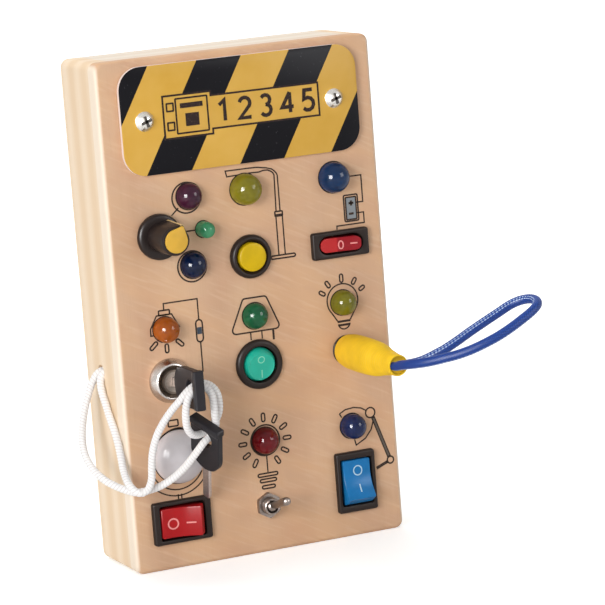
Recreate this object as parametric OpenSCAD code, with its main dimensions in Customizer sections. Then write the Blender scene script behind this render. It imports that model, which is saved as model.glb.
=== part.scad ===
// Wooden busy board: a hollow wooden box that stands upright on its bottom edge.
// Its front carries eight switches, a key lock and a plug, each with its own lamps,
// and a pair of cells behind a door in the back.
// Millimetres, +Z up, +X to the right, +Y into the board.
// The origin is the middle of the face that the board stands on.

/* [Case] */
// Width of the case
case_w = 102; // [98:1:120]
// Depth of the case, front to back
case_d = 32; // [32:1:44]
// Height of the case
case_h = 176; // [174:1:200]
// Thickness of the front panel
panel_t = 6; // [5:0.5:7]
// Thickness of the frame's rails
rail_t = 7; // [6.5:0.5:7]
// Thickness of the back panel
back_t = 3; // [3:0.5:4]
// Radius of the case's corners, seen from the front
corner_r = 3; // [2:0.5:5]
// Radius on the front panel's front edges
edge_r = 1.6; // [0.8:0.2:1.8]
// Depth of the rebate that holds the back panel
rebate = 4; // [3.5:0.5:4.5]

/* [Layout] */
// Distance from the case's sides to the outer columns of parts
side_inset = 17.5; // [17.5:0.5:18.5]
// Height of the selector's axis
selector_z = 115.5; // [115:0.5:117]
// Height of the push button and the slim rocker
button_z = 104.3; // [104:0.1:105]
// Height of the key lock, the round rocker and the plug
lock_z = 66.3; // [65.5:0.1:67]
// Height of the red rocker and the toggle
red_z = 16.8; // [16:0.1:18]
// Height of the blue rocker
blue_z = 19.8; // [19:0.1:20.5]
// Height of the upper row of lamps
lamps_high = 127.6; // [127:0.1:129]
// Height of the middle row of lamps
lamps_mid = 83.5; // [83:0.1:85]
// Height of the lower row of lamps
lamps_low = 39.5; // [39:0.1:40.5]

/* [Hazard plate] */
// Width of the plate
plate_w = 88; // [80:1:92]
// Height of the plate
plate_h = 37; // [30:1:37]
// Thickness of the plate
plate_t = 2; // [1.5:0.5:3]
// Corner radius of the plate
plate_r = 8; // [4:0.5:9]
// Gap between the plate and the top of the case
plate_drop = 2.4; // [2.2:0.2:4]
// Distance between the plate's two screws
plate_screws = 70.4; // [60:0.2:72]

/* [Lamps] */
// Diameter of most lamps
lamp_d = 9.1; // [8:0.1:9.6]
// Diameter of the street lamp and the battery lamp
lamp_big_d = 10.8; // [10:0.1:11.4]
// Diameter of the smallest lamp, by the selector
lamp_small_d = 5.6; // [5:0.1:6]
// Diameter of the white globe
globe_d = 19.2; // [17:0.1:19.6]

/* [Selector] */
// Diameter of the knob's skirt
skirt_d = 15.8; // [15:0.1:16.6]
// Height of the knob
knob_h = 17; // [14:0.5:18]
// Radius of the round part of the pointer
pointer_r = 5; // [4.6:0.1:5.2]
// Reach of the pointer's tip
pointer_reach = 6.4; // [6:0.1:6.8]
// Diameter of the selector's shaft
shaft_d = 6; // [5:0.1:6]
// Pointer's angle from straight up, clockwise
pointer_rest = 30; // [20:1:40]

/* [Push button] */
// Diameter of the bezel
push_bezel_d = 15.2; // [14.6:0.1:16]
// Diameter of the barrel through the panel
push_barrel_d = 12; // [11.6:0.1:12.4]
// Diameter of the cap
push_cap_d = 10; // [9.6:0.1:10.4]
// How far the cap stands out of the panel
push_rise = 3.2; // [3:0.1:4]
// Travel of the cap
push_travel = 2; // [1:0.1:2]

/* [Rockers] */
// Long side of a rectangular rocker's frame
rocker_l = 21.5; // [21:0.1:22]
// Short side of a square-cornered rocker's frame
rocker_w = 15; // [14.6:0.1:15.4]
// Short side of the slim rocker's frame
slim_w = 9.5; // [9.3:0.1:10]
// Length of the window in a rectangular frame
window_l = 16.7; // [16:0.1:17]
// Width of the window in a square-cornered frame
window_w = 12.1; // [11.6:0.1:12.2]
// Width of the window in the slim frame
slim_window_w = 6.5; // [6:0.1:6.6]
// Diameter of the round rocker's bezel
round_d = 17.3; // [17.2:0.1:18]
// Diameter of the round rocker's window
round_window_d = 12.7; // [12:0.1:12.8]
// Thickness of every rocker's frame
frame_t = 2; // [1.5:0.1:2.5]
// Tilt of a square-cornered rocker on each side of its middle
rock = 16; // [12:1:17]
// Tilt of the slim rocker on each side of its middle
slim_tilt = 8; // [6:0.5:10]
// Tilt of the round rocker on each side of its middle
round_tilt = 12; // [8:1:14]

/* [Lock and keys] */
// Diameter of the lock's flange
lock_d = 15.4; // [15:0.1:16]
// Diameter of the lock's threaded barrel
lock_barrel_d = 12; // [11.6:0.1:12.4]
// Diameter of the lock's turning core
core_d = 8.2; // [7.8:0.1:8.6]
// Width of a key's head
key_w = 13.6; // [13:0.1:14]
// Length of the flat part of a key's head
key_l = 17.5; // [17:0.1:18]
// Thickness of a key's head
key_t = 2.2; // [2:0.1:2.2]
// Length of a key's blade
blade_l = 13.2; // [12:0.1:14]
// Width of a key's blade
blade_w = 3.1; // [2.8:0.1:3.4]
// Thickness of a key's blade
blade_t = 1.3; // [1.2:0.1:1.5]
// Diameter of the cord hole in a key's head
key_hole_d = 6.4; // [6:0.1:6.6]

/* [Plug] */
// Largest diameter of the plug's body
plug_d = 12.6; // [12:0.1:13]
// Length of the plug's body
plug_l = 40; // [38:0.5:42]
// Diameter of the plug's pin
pin_d = 3.5; // [3.3:0.1:3.5]
// Length of the plug's pin
pin_l = 14; // [12:0.5:14]
// Diameter of the jack's barrel
jack_d = 8; // [7.6:0.1:8.4]

/* [Toggle] */
// Diameter of the toggle's bushing
bushing_d = 6; // [5.8:0.1:6.2]
// Distance across the flats of the toggle's nut
toggle_nut = 8; // [7.8:0.1:9]
// Length of the lever from its pivot
lever_l = 15.8; // [14:0.1:17]
// Tilt of the lever on each side of its middle
lever_tilt = 17; // [12:0.5:17]

/* [Battery case] */
// Diameter of a cell
cell_d = 10.5; // [10.5:0.1:10.5]
// Length of a cell
cell_l = 44.5; // [44:0.1:44.5]
// Distance from the top of the case to the middle of the battery case
cells_drop = 23.5; // [23:0.1:24]

/* [Cords] */
// Diameter of the white key cord
cord_d = 2.4; // [2:0.1:2.4]
// Diameter of the blue pull cord
loop_d = 3.3; // [3:0.1:3.4]

/* [Hidden] */
$fn = 64;
front = -case_d / 2;
back = case_d / 2;
cells_z = case_h - cells_drop;
col_r = case_w / 2 - side_inset;
col_l = -col_r;
inner_w = case_w - 2 * rail_t;
snug = 0.05;
slack = 0.2;
plate_z = case_h - plate_drop - plate_h / 2;

// The heights above are for a panel of this height below the plate, and go with it
drawn_h = 136.6;
up = (case_h - plate_h - plate_drop) / drawn_h;
high = up * lamps_high;
middle = up * lamps_mid;
low = up * lamps_low;

// Where each control stands on the panel
SELECTOR = [col_l + 0.4, up * selector_z];
PUSH = [0, up * button_z];
SLIM = [col_r + 0.4, up * button_z];
LOCK = [col_l + 0.3, up * lock_z - 0.5];
ROUND = [0, up * lock_z + 0.3];
JACK = [col_r + 0.2, up * lock_z + 0.4];
RED = [col_l + 0.1, up * red_z];
TOGGLE = [-0.8, up * red_z];
BLUE = [col_r - 0.3, up * blue_z];

// From the selector to its three lamps, and from the column to the globe
to_purple = [12.3, 12.3];
to_green = [16.7, 0.4];
to_navy = [11.9, -11.4];
to_globe = 1.5;

// Each lamp: x, z, diameter, how far its straight wall stands out of the panel
LAMP_PURPLE = concat(SELECTOR + to_purple, [lamp_d, 0.4]);
LAMP_GREEN = concat(SELECTOR + to_green, [lamp_small_d, 3.4]);
LAMP_NAVY = concat(SELECTOR + to_navy, [lamp_d, 0.4]);
LAMP_STREET = [0, high, lamp_big_d, 1.6];
LAMP_BLUE = [col_r, high, lamp_big_d, 1.2];
LAMP_ORANGE = [col_l, middle, lamp_d - 0.4, 2];
LAMP_TABLE = [0, middle, lamp_d, 0.5];
LAMP_BULB = [col_r, middle, lamp_d - 0.3, 1.5];
LAMP_GLOBE = [col_l + to_globe, low, globe_d, 0.5];
LAMP_SUN = [0, low, lamp_d + 0.3, 0.6];
LAMP_DESK = [col_r, low, lamp_d - 0.3, 2];
LAMPS = [LAMP_PURPLE, LAMP_GREEN, LAMP_NAVY, LAMP_STREET, LAMP_BLUE, LAMP_ORANGE, LAMP_TABLE,
    LAMP_BULB, LAMP_GLOBE, LAMP_SUN, LAMP_DESK];

back_w = inner_w + 2 * rebate - slack;
back_h = case_h - 2 * rail_t + 2 * rebate - slack;
screw_d = 2.4;
screw_l = 12;
screw_head_d = 4.2;
head_h = (screw_head_d - screw_d) / 2;
screw_inset = rail_t - screw_d / 2 - 0.4;
screw_end_gap = 12;

lamp_flange = 1.2;
lamp_flange_rim = 0.5;
globe_rise = 6.4;
lead_l = 8;
lead_pitch = 2.54;

rocker_body_l = rocker_l - 2.3;
rocker_body_w = rocker_w - 1.6;
slim_body_w = slim_w - 1.6;
rocker_depth = 15;
rocker_wall = 1.1;
round_body_d = round_d - 2.5;
pivot_z = -0.4;
paddle_gap = 0.35;
paddle_side = 0.95;
paddle_reach = window_l / 2 - 1.35;
paddle_rise = 4.7;
slim_end_gap = 0.85;
slim_reach = window_l / 2 - 0.95;
slim_rise = 3.5;
slim_ridge = -1.3;
round_face_d = round_window_d - 2.9;
round_rise = 3.05;
trunnion_d = 2.4;
trunnion_l = 0.6;

push_bezel_h = 2.4;
push_body_l = 19;
push_cap_l = 8;
spring_packed = 8.2;
push_bore_l = push_cap_l - push_rise + push_travel + spring_packed;

lock_flange_h = 2.2;
lock_core_h = 4;
lock_barrel_l = 18;
key_stand = 6.5;
bar_w = 3.6;
bar_t = 2.7;
hole_from_bar = 5.2;
bow_length = key_l + bar_t / 2;
KEY1 = [LOCK[0], front - key_stand - bow_length, LOCK[1]];
SPARE = KEY1 + [4.3, 6.25, -13.6];
SPARE_TURN = [-65.3, -16.65, 16.2];

jack_ring_d = 10.6;
jack_ring_h = 0.8;
jack_l = 20;
plug_gap = 0.3;
plug_stand = jack_ring_h + plug_gap;
plug_mouth_d = 6;
plug_mouth_l = 9;

toggle_pivot = 3;
toggle_nut_h = 1.8;
bushing_h = 4.6;
ball_r = 2.1;
bushing_bore_d = 4.4;

holder_wall = 1.4;
holder_w = cell_l + 9;
holder_h = 2 * cell_d + 3 * holder_wall;
holder_d = cell_d + holder_wall + 0.8;
door_w = holder_w + 2;
door_h = holder_h + 2;
door_t = 2;
holder_back = back - back_t;
cell_y = holder_back - cell_d / 2 - 0.4;

knot_d = 6;
cord_hole_d = 2 * cord_d + 1;
// Distance from the rail at which the knot meets the rim of the hole
knot_seat = sqrt(pow(knot_d / 2, 2) - pow(cord_hole_d / 2, 2)) + snug;
CORD_EXIT = [-case_w / 2, front + 18.3, LOCK[1] + 2.7];

// Where the lock and the jack stand in the cords' routes below, which go with them
LOCK_DRAWN = [-33.2, -16, 65.8];
JACK_DRAWN = [33.7, -16, 66.7];

// The key cord's two hanging strands, from the knot inside the case to the bottom of the loop
CORD_FAR_BACK = [[-42.5, 3.5, 68.5], [-48, 3.6, 68.5], [-51.4, 3.6, 67.8], [-54, 3.4, 65.4],
    [-56.4, 2.8, 61.2], [-59.2, 1, 55.3], [-61.6, -2, 48.9], [-62.9, -6.5, 43.3], [-62.2, -12, 38.4],
    [-59.8, -16.6, 35], [-56, -19.8, 32.4], [-52.15, -21.76, 30.71], [-51.5, -22, 30.6]];
CORD_FAR_FRONT = [[-42.5, 1.1, 68.5], [-48, 1, 68.5], [-50.8, 0.9, 67.8], [-52.4, 0.3, 65.4],
    [-52.7, -1.2, 62.2], [-52.6, -3.6, 58.4], [-52.6, -6.4, 54.4], [-52.6, -9.6, 50.4],
    [-52.7, -12.4, 46.2], [-53, -15, 41.8], [-53.6, -18, 37.6], [-53.8, -22, 34.1],
    [-52.9, -24.8, 31.9], [-51.64, -25.72, 30.99], [-51, -26, 31]];
// The stretch that winds twice through both keys
CORD_WRAP = [[-51, -26, 31], [-50.36, -26.28, 31.01], [-48.6, -26.7, 32], [-47.2, -27, 35.2],
    [-46.8, -27.2, 39.8], [-46.3, -27.8, 44.6], [-44.9, -28.8, 49.7], [-42.6, -30.3, 54.5], [-39.8, -32.3, 58.9],
    [-37.4, -34.2, 62], [-35, -35, 64.7], [-32.2, -35.1, 66.4], [-29.2, -35, 66.9],
    [-26.4, -34.9, 65.8], [-24.2, -34.8, 63.2], [-23.4, -34.5, 59.6], [-23.5, -33.8, 56],
    [-24.5, -32.7, 53.1], [-26.4, -31.8, 51], [-28.9, -32.1, 49.5], [-31.6, -33.2, 49.2],
    [-34.4, -34.6, 50.2], [-36.3, -36, 52.9], [-36.9, -37, 56.6], [-36.6, -37.5, 60.4],
    [-35.2, -37.6, 63.8], [-33.2, -37.6, 65.8], [-30.6, -37.5, 66.4], [-28.2, -37.5, 65],
    [-26.8, -37.4, 62.2], [-26.4, -37.1, 58.8], [-26.2, -36.6, 55.6], [-25.6, -35.6, 52.8],
    [-25.9, -34.4, 50.2], [-27.8, -33.9, 47.9], [-30.1, -34.2, 46.4], [-31.9, -33.4, 44.1],
    [-33.6, -31.4, 41.2], [-35.8, -29.2, 37.9], [-38.7, -27, 34.8], [-42.6, -24.9, 32.2],
    [-46.8, -23.2, 30.8], [-50.85, -22.24, 30.49], [-51.5, -22, 30.6]];
// The blue cord's loop, out of the plug's mouth and back into it
BLUE_LOOP = [[35.2, -50.6, 66.7], [35.2, -57.3, 66.7], [36, -59.5, 67.2], [37.1, -61.8, 67.7],
    [39, -63.8, 68.4], [41.4, -65.2, 69.4], [44, -66.2, 70.6], [46.7, -67, 71.8], [51, -67.8, 74],
    [55.6, -68.2, 76.4], [61.7, -68.5, 79.3], [66.7, -68.8, 81.6], [71.1, -69.2, 83.7],
    [74, -70.8, 85], [75.9, -73.5, 85.7], [76.6, -76.8, 85.8], [75.9, -80.2, 85.4],
    [74, -82.9, 84.6], [71.1, -84.5, 83.3], [67, -85.1, 81.3], [62.4, -85.4, 79.1],
    [57.7, -85.2, 77], [53.1, -84.2, 75.1], [48.7, -82.4, 73.3], [44.6, -80, 71.9],
    [41.2, -77.6, 71], [38.7, -75.2, 70.2], [36.3, -72.4, 69.5], [34.5, -69.2, 68.9],
    [33.2, -65.6, 68.3], [32.7, -61.6, 67.6], [32.2, -57.3, 66.7], [32.2, -50.6, 66.7]];

// ---- shared shapes ----

// Points of an arc around c, from angle a to angle b
function arc(c, r, a, b, n = 6) =
    [for (i = [0:n]) c + r * [cos(a + (b - a) * i / n), sin(a + (b - a) * i / n)]];

// Outline of a rectangle with round corners, centred on the origin
function rounded(w, h, r, n = 6) = concat(
    arc([w / 2 - r, h / 2 - r], r, 0, 90, n), arc([r - w / 2, h / 2 - r], r, 90, 180, n),
    arc([r - w / 2, r - h / 2], r, 180, 270, n), arc([w / 2 - r, r - h / 2], r, 270, 360, n));

function unit(v) = v / norm(v);

// A tube swept along a list of points, each ring square to the way the points run. Its first
// two and last two rings have the diameter end_d.
module tube(points, d, ref, sides = 8, end_d = undef) {
    last = len(points) - 1;
    rings = [for (i = [0:last])
        let (t = unit(points[min(i + 1, last)] - points[max(i - 1, 0)]),
             u = unit(cross(ref, t)), v = cross(t, u),
             pinched = !is_undef(end_d) && min(i, last - i) < 2)
        for (j = [0:sides - 1])
            points[i] + (pinched ? end_d : d) / 2 * (cos(360 * j / sides) * u + sin(360 * j / sides) * v)];
    walls = [for (i = [0:last - 1], j = [0:sides - 1])
        let (a = i * sides + j, b = i * sides + (j + 1) % sides)
        each [[a, a + sides, b + sides], [a, b + sides, b]]];
    caps = [[for (j = [0:sides - 1]) j], [for (j = [0:sides - 1]) (last + 1) * sides - 1 - j]];
    polyhedron(rings, concat(walls, caps), convexity = 10);
}

// Draws children at a place on the front panel, with +Z pointing out of it
module on_panel(place) {
    translate([place[0], front, place[1]]) rotate([90, 0, 0]) children();
}

// A cylinder from height a to height b
module post(d, a, b) {
    translate([0, 0, a]) cylinder(d = d, h = b - a);
}

// A screw whose head is level with z = 0
module countersunk_screw(d, l, head_d, head_h) {
    rotate_extrude() polygon([[0, -l], [d / 2, -l], [d / 2, -head_h], [head_d / 2, 0], [0, 0]]);
}

// A box centred on the axis, from height a to height b
module block(w, h, a, b) {
    translate([-w / 2, -h / 2, a]) cube([w, h, b - a]);
}

module hex(flats, a, b) {
    translate([0, 0, a]) cylinder(d = flats / cos(30), h = b - a, $fn = 6);
}

// The case's outline as seen from the front, from depth y0 to depth y1
module outline(y0, y1) {
    translate([0, y1, case_h / 2]) rotate([90, 0, 0])
        linear_extrude(y1 - y0) polygon(rounded(case_w, case_h, corner_r));
}

// The frame of four rails, before it is cut into rails
module frame_stock() {
    difference() {
        outline(front + panel_t, back);
        translate([-inner_w / 2, front, rail_t]) cube([inner_w, case_d + 1, case_h - 2 * rail_t]);
        translate([-inner_w / 2 - rebate, back - back_t, rail_t - rebate])
            cube([inner_w + 2 * rebate, back_t + 1, case_h - 2 * rail_t + 2 * rebate]);
        back_screw_places() post(screw_d + 2 * snug, -screw_l, 1);
        translate(CORD_EXIT) rotate([0, 90, 0]) post(cord_hole_d, -1, rail_t + 1);
    }
}

// The six screws of the back panel, each with +Z pointing out of the back
module back_screw_places() {
    for (x = [screw_inset - case_w / 2, case_w / 2 - screw_inset],
            z = [screw_end_gap, case_h / 2, case_h - screw_end_gap])
        translate([x, back, z]) rotate([-90, 0, 0]) children();
}

// ---- case ----

module front_panel() {
    profile = concat([[0, -panel_t], [corner_r, -panel_t]],
        arc([corner_r - edge_r, -edge_r], edge_r, 0, 90), [[0, 0]]);
    color("burlywood") difference() {
        on_panel([0, case_h / 2]) hull()
            for (x = [-1, 1], y = [-1, 1])
                translate([x * (case_w / 2 - corner_r), y * (case_h / 2 - corner_r), 0])
                    rotate_extrude($fn = 32) polygon(profile);
        for (lamp = LAMPS) on_panel(lamp) post(lamp[2] + slack, -panel_t - 1, 1);
        on_panel(SELECTOR) post(selector_bush_d + slack, -panel_t - 1, 1);
        on_panel(PUSH) post(push_barrel_d + slack, -panel_t - 1, 1);
        on_panel(SLIM) block(rocker_body_l + slack, slim_body_w + slack, -panel_t - 1, 1);
        on_panel(LOCK) post(lock_barrel_d + slack, -panel_t - 1, 1);
        on_panel(ROUND) post(round_body_d + slack, -panel_t - 1, 1);
        on_panel(JACK) post(jack_d + slack, -panel_t - 1, 1);
        on_panel(RED) block(rocker_body_l + slack, rocker_body_w + slack, -panel_t - 1, 1);
        on_panel(TOGGLE) post(bushing_d + slack, -panel_t - 1, 1);
        on_panel(BLUE) block(rocker_body_w + slack, rocker_body_l + slack, -panel_t - 1, 1);
        hazard_screw_places() post(plate_screw_d + 2 * snug, -plate_screw_l, 1);
    }
}

module rail_left() {
    color("wheat") intersection() {
        frame_stock();
        translate([-case_w / 2 - 1, front, -1]) cube([rail_t + 1, case_d + 1, case_h + 2]);
    }
}

module rail_right() {
    color("wheat") intersection() {
        frame_stock();
        translate([case_w / 2 - rail_t, front, -1]) cube([rail_t + 1, case_d + 1, case_h + 2]);
    }
}

module rail_top() {
    color("wheat") intersection() {
        frame_stock();
        translate([-inner_w / 2, front, case_h - rail_t]) cube([inner_w, case_d + 1, rail_t + 1]);
    }
}

module rail_bottom() {
    color("wheat") intersection() {
        frame_stock();
        translate([-inner_w / 2, front, -1]) cube([inner_w, case_d + 1, rail_t + 1]);
    }
}

module back_panel() {
    color("tan") difference() {
        translate([-back_w / 2, back - back_t, (case_h - back_h) / 2]) cube([back_w, back_t, back_h]);
        back_screw_places() {
            post(screw_d + 2 * snug, -back_t - 1, 1);
            translate([0, 0, -head_h])
                cylinder(d1 = screw_d + 2 * snug, d2 = screw_head_d + 2 * snug, h = head_h);
        }
        door_place() {
            block(door_w + 2 * slack, door_h + 2 * slack, -door_t, 1);
            translate([-door_tab / 2 - slack, 0, -door_t])
                cube([door_tab + 2 * slack, door_h / 2 + door_tab + slack, door_t + 1]);
            block(holder_w - 2 * holder_wall, holder_h - 2 * holder_wall, -back_t - 1, 1);
            translate([0, door_screw_y, 0]) post(door_screw_d + slack, -back_t - 1, 1);
        }
    }
}

module back_screws() {
    color("silver") back_screw_places() countersunk_screw(screw_d, screw_l, screw_head_d, head_h);
}

// ---- battery case ----

door_screw_d = 2.6;
door_screw_l = 9;
door_head_d = 4.6;
door_head_h = (door_head_d - door_screw_d) / 2;
door_screw_y = door_h / 2 + 2.6;
door_tab = 5.4;

// The door's middle on the back, with +Z pointing out of it and +Y down the board
module door_place() {
    translate([0, back, cells_z]) rotate([-90, 0, 0]) children();
}

module battery_door() {
    color("ivory") door_place() difference() {
        union() {
            block(door_w, door_h, -door_t, 0);
            translate([-door_tab / 2, door_h / 2 - 1, -door_t]) cube([door_tab, door_tab + 1, door_t]);
        }
        translate([0, door_screw_y, 0]) {
            post(door_screw_d + 2 * snug, -door_t - 1, 1);
            translate([0, 0, -door_head_h]) cylinder(d1 = door_screw_d + 2 * snug,
                d2 = door_head_d + 2 * snug, h = door_head_h);
        }
    }
}

module battery_door_screw() {
    color("silver") door_place() translate([0, door_screw_y, 0]) difference() {
        countersunk_screw(door_screw_d, door_screw_l, door_head_d, door_head_h);
        block(0.7, 3, -0.6, 1);
        block(3, 0.7, -0.6, 1);
    }
}

module battery_holder() {
    color("dimgray") translate([0, holder_back, cells_z]) rotate([-90, 0, 0]) difference() {
        union() {
            block(holder_w, holder_h, -holder_d, 0);
            translate([-door_tab / 2 - 1, holder_h / 2 - 1, -door_screw_l])
                cube([door_tab + 2, door_tab + 3, door_screw_l]);
        }
        for (y = [-1, 1]) translate([0, y * (cell_d + holder_wall) / 2, 0])
            block(holder_w - 2 * holder_wall, cell_d, -holder_d + holder_wall, 1);
        translate([0, door_screw_y, 0]) post(door_screw_d + slack, -door_screw_l - 1, 1);
    }
}

// The two cells' axes, the second one turned end for end
module cell_places() {
    for (s = [-1, 1]) translate([0, cell_y, cells_z + s * (cell_d + holder_wall) / 2])
        rotate([0, s * 90, 0]) children();
}

module cells() {
    color("darkgreen") cell_places() {
        post(cell_d - 0.4, -cell_l / 2, cell_l / 2 - 1);
        post(3.8, cell_l / 2 - 1, cell_l / 2);
    }
}

spring_turns = 3;
spring_wire = 0.7;
contact_spring_d = 5.4;
contact_w = 8;
contact_t = 0.4;

// A coil spring along +Z from height a to height b
module coil(d, a, b, turns, wire) {
    steps = turns * 10;
    tube([for (i = [0:steps]) [d / 2 * cos(36 * i), d / 2 * sin(36 * i),
        a + wire / 2 + (b - a - wire) * i / steps]], wire, [0, 0, 1], 6);
}

module battery_contacts() {
    reach = holder_w / 2 - holder_wall;
    color("silver") cell_places() {
        block(contact_w, contact_w, cell_l / 2, reach);
        block(contact_w, contact_w, -reach, -reach + contact_t);
        coil(contact_spring_d, -reach + contact_t, -cell_l / 2 - 0.02, spring_turns, spring_wire);
    }
}

// ---- hazard plate ----

plate_screw_d = 2.8;
plate_screw_l = 5;
plate_head_d = 6.7;
plate_head_h = 2.2;

module hazard_screw_places() {
    for (x = [-1, 1]) on_panel([x * plate_screws / 2, plate_z]) children();
}

module hazard_plate() {
    color("gold") difference() {
        on_panel([0.4, plate_z]) linear_extrude(plate_t) polygon(rounded(plate_w, plate_h, plate_r, 10));
        hazard_screw_places() post(plate_screw_d + slack, -1, plate_t + 1);
    }
}

module hazard_plate_screws() {
    dome_r = (pow(plate_head_d / 2, 2) + pow(plate_head_h, 2)) / (2 * plate_head_h);
    edge_a = acos(plate_head_d / 2 / dome_r);
    color("silver") hazard_screw_places() difference() {
        union() {
            post(plate_screw_d, -plate_screw_l, plate_t);
            translate([0, 0, plate_t]) rotate_extrude() polygon(concat([[0, 0]],
                arc([0, plate_head_h - dome_r], dome_r, edge_a, 90, 8)));
        }
        block(0.8, 4, plate_t + plate_head_h - 1.2, plate_t + plate_head_h + 1);
        block(4, 0.8, plate_t + plate_head_h - 1.2, plate_t + plate_head_h + 1);
    }
}

// ---- lamps ----

// A round-nosed lamp that is pushed in from behind until its flange meets the panel
module lamp(place) {
    r = place[2] / 2;
    on_panel(place) rotate_extrude() polygon(concat(
        [[0, -panel_t - lamp_flange], [r + lamp_flange_rim, -panel_t - lamp_flange],
         [r + lamp_flange_rim, -panel_t], [r, -panel_t]],
        arc([0, place[3]], r, 0, 90, 10)));
}

module lamp_purple() color("purple") lamp(LAMP_PURPLE);
module lamp_small_green() color("mediumseagreen") lamp(LAMP_GREEN);
module lamp_navy() color("midnightblue") lamp(LAMP_NAVY);
module lamp_street() color("olive") lamp(LAMP_STREET);
module lamp_battery() color("royalblue") lamp(LAMP_BLUE);
module lamp_orange() color("darkorange") lamp(LAMP_ORANGE);
module lamp_table() color("seagreen") lamp(LAMP_TABLE);
module lamp_bulb() color("olive") lamp(LAMP_BULB);
module lamp_sun() color("darkred") lamp(LAMP_SUN);
module lamp_desk() color("midnightblue") lamp(LAMP_DESK);

// The white globe is a shallow lens, wider than the lamp that stands behind it
module lamp_globe() {
    r = globe_d / 2;
    color("whitesmoke") on_panel(LAMP_GLOBE) rotate_extrude() polygon(concat(
        [[0, -panel_t - lamp_flange], [r + lamp_flange_rim, -panel_t - lamp_flange],
         [r + lamp_flange_rim, -panel_t], [r, -panel_t]],
        [for (i = [0:10]) [r * cos(9 * i), LAMP_GLOBE[3] + globe_rise * sin(9 * i)]]));
}

module lamp_leads() {
    color("silver") for (lamp = LAMPS, s = [-1, 1]) on_panel(lamp)
        translate([s * lead_pitch / 2, 0, 0])
            block(0.5, 0.5, -panel_t - lamp_flange - lead_l, -panel_t - lamp_flange);
}

// ---- selector ----

selector_bush_d = 7.4;
selector_bush_h = 2.2;
selector_body_d = 16;
selector_body_l = 9;
skirt_h = 3;
insert_t = 0.6;
tip_r = 0.6;
shaft_top = knob_h - 4;

module selector_switch() {
    color("dimgray") on_panel(SELECTOR) difference() {
        union() {
            post(selector_body_d, -panel_t - selector_body_l, -panel_t);
            post(selector_bush_d, -panel_t, selector_bush_h);
        }
        post(shaft_d + 2 * snug, -panel_t - selector_body_l + 1, selector_bush_h + 1);
    }
}

module selector_shaft() {
    color("silver") on_panel(SELECTOR)
        post(shaft_d, -panel_t - selector_body_l + 1 + snug, shaft_top);
}

// Outline of the pointer: a circle drawn out to a tip straight up
function pointer(r, reach) = let (a = asin(r / (reach + tip_r)))
    concat(arc([0, 0], r, 180 - a, 360 + a, 24), arc([0, reach - tip_r], tip_r, a, 180 - a, 4));

module selector_knob() {
    color([0.12, 0.11, 0.12]) on_panel(SELECTOR) rotate([0, 0, -pointer_rest]) difference() {
        union() {
            rotate_extrude() polygon([[0, 0.4], [skirt_d / 2, 0.4], [skirt_d / 2, skirt_h - 1],
                [skirt_d / 2 - 1, skirt_h], [0, skirt_h]]);
            translate([0, 0, 1]) linear_extrude(knob_h - insert_t - 1)
                polygon(pointer(pointer_r, pointer_reach));
        }
        post(skirt_d - 4, -1, selector_bush_h + 0.4);
        post(shaft_d + 2 * snug, -1, shaft_top);
    }
}

module selector_pointer() {
    color("gold") on_panel(SELECTOR) rotate([0, 0, -pointer_rest])
        translate([0, 0, knob_h - insert_t]) linear_extrude(insert_t)
            polygon(pointer(pointer_r - 0.8, pointer_reach - 0.5));
}

// ---- push button ----

module push_housing() {
    r = push_bezel_d / 2;
    bore = push_cap_d / 2 + 0.1;
    color([0.1, 0.1, 0.1]) on_panel(PUSH) difference() {
        rotate_extrude() polygon([[0, -push_body_l], [push_barrel_d / 2, -push_body_l],
            [push_barrel_d / 2, 0], [r, 0], [r, 0.9], [r - 0.8, push_bezel_h - 0.4],
            [r - 1.5, push_bezel_h], [0, push_bezel_h]]);
        post(2 * bore, -push_bore_l, push_bezel_h + 1);
    }
}

module push_cap() {
    r = push_cap_d / 2;
    color("gold") on_panel(PUSH) rotate_extrude() polygon(concat([[0, push_rise - push_cap_l],
        [r, push_rise - push_cap_l]], arc([r - 0.6, push_rise - 0.6], 0.6, 0, 90, 4), [[0, push_rise]]));
}

module push_spring() {
    color("silver") on_panel(PUSH)
        coil(7, -push_bore_l + 0.05, push_rise - push_cap_l - 0.1, 5, 0.6);
}

// ---- rockers ----

// Frame and body of a rectangular rocker switch, its long side along X
module rocker_frame(w, body_w, win_w) {
    color([0.12, 0.11, 0.12]) difference() {
        union() {
            linear_extrude(frame_t) polygon(rounded(rocker_l, w, 0.8, 3));
            block(rocker_body_l, body_w, -rocker_depth, 0);
        }
        translate([0, 0, -rocker_depth + rocker_wall]) linear_extrude(rocker_depth + frame_t)
            polygon(rounded(window_l, win_w, w < rocker_w ? win_w / 2 - 0.01 : 0.6, 6));
        trunnion(win_w + 2, 2 * snug);
    }
}

// The two pivot pins of a rocker, or their holes, as one pin right across
module trunnion(across, more = 0) {
    translate([0, 0, pivot_z]) rotate([90, 0, 0])
        cylinder(d = trunnion_d + more, h = across, center = true);
}

// A rocker that turns about Y, at rest with its +X end raised. Its two flat faces meet in
// a low ridge, and its ends are round about the pivot so that they clear the window
module paddle(w, win_w, reach, rise, tilt, ridge, round_ends) {
    r = window_l / 2 - paddle_gap;
    trunnion(win_w + 2 * trunnion_l);
    translate([0, 0, pivot_z]) rotate([0, -tilt, 0]) intersection() {
        rotate([90, 0, 0]) linear_extrude(w, center = true) polygon(concat(
            [[r * cos(35), -r * sin(35)]], arc([0, 0], r, -25, 20, 6),
            [[reach, rise], [ridge, rise - (reach + ridge) * tan(tilt)], [-reach, rise]],
            arc([0, 0], r, 160, 205, 6), [[-r * cos(35), -r * sin(35)]]));
        if (round_ends) translate([0, 0, -r]) linear_extrude(3 * r)
            polygon(rounded(window_l - 2 * slim_end_gap, w, w / 2 - 0.01, 10));
    }
}

module square_paddle()
    paddle(window_w - 2 * paddle_side, window_w, paddle_reach, paddle_rise, rock, 0, false);

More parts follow.
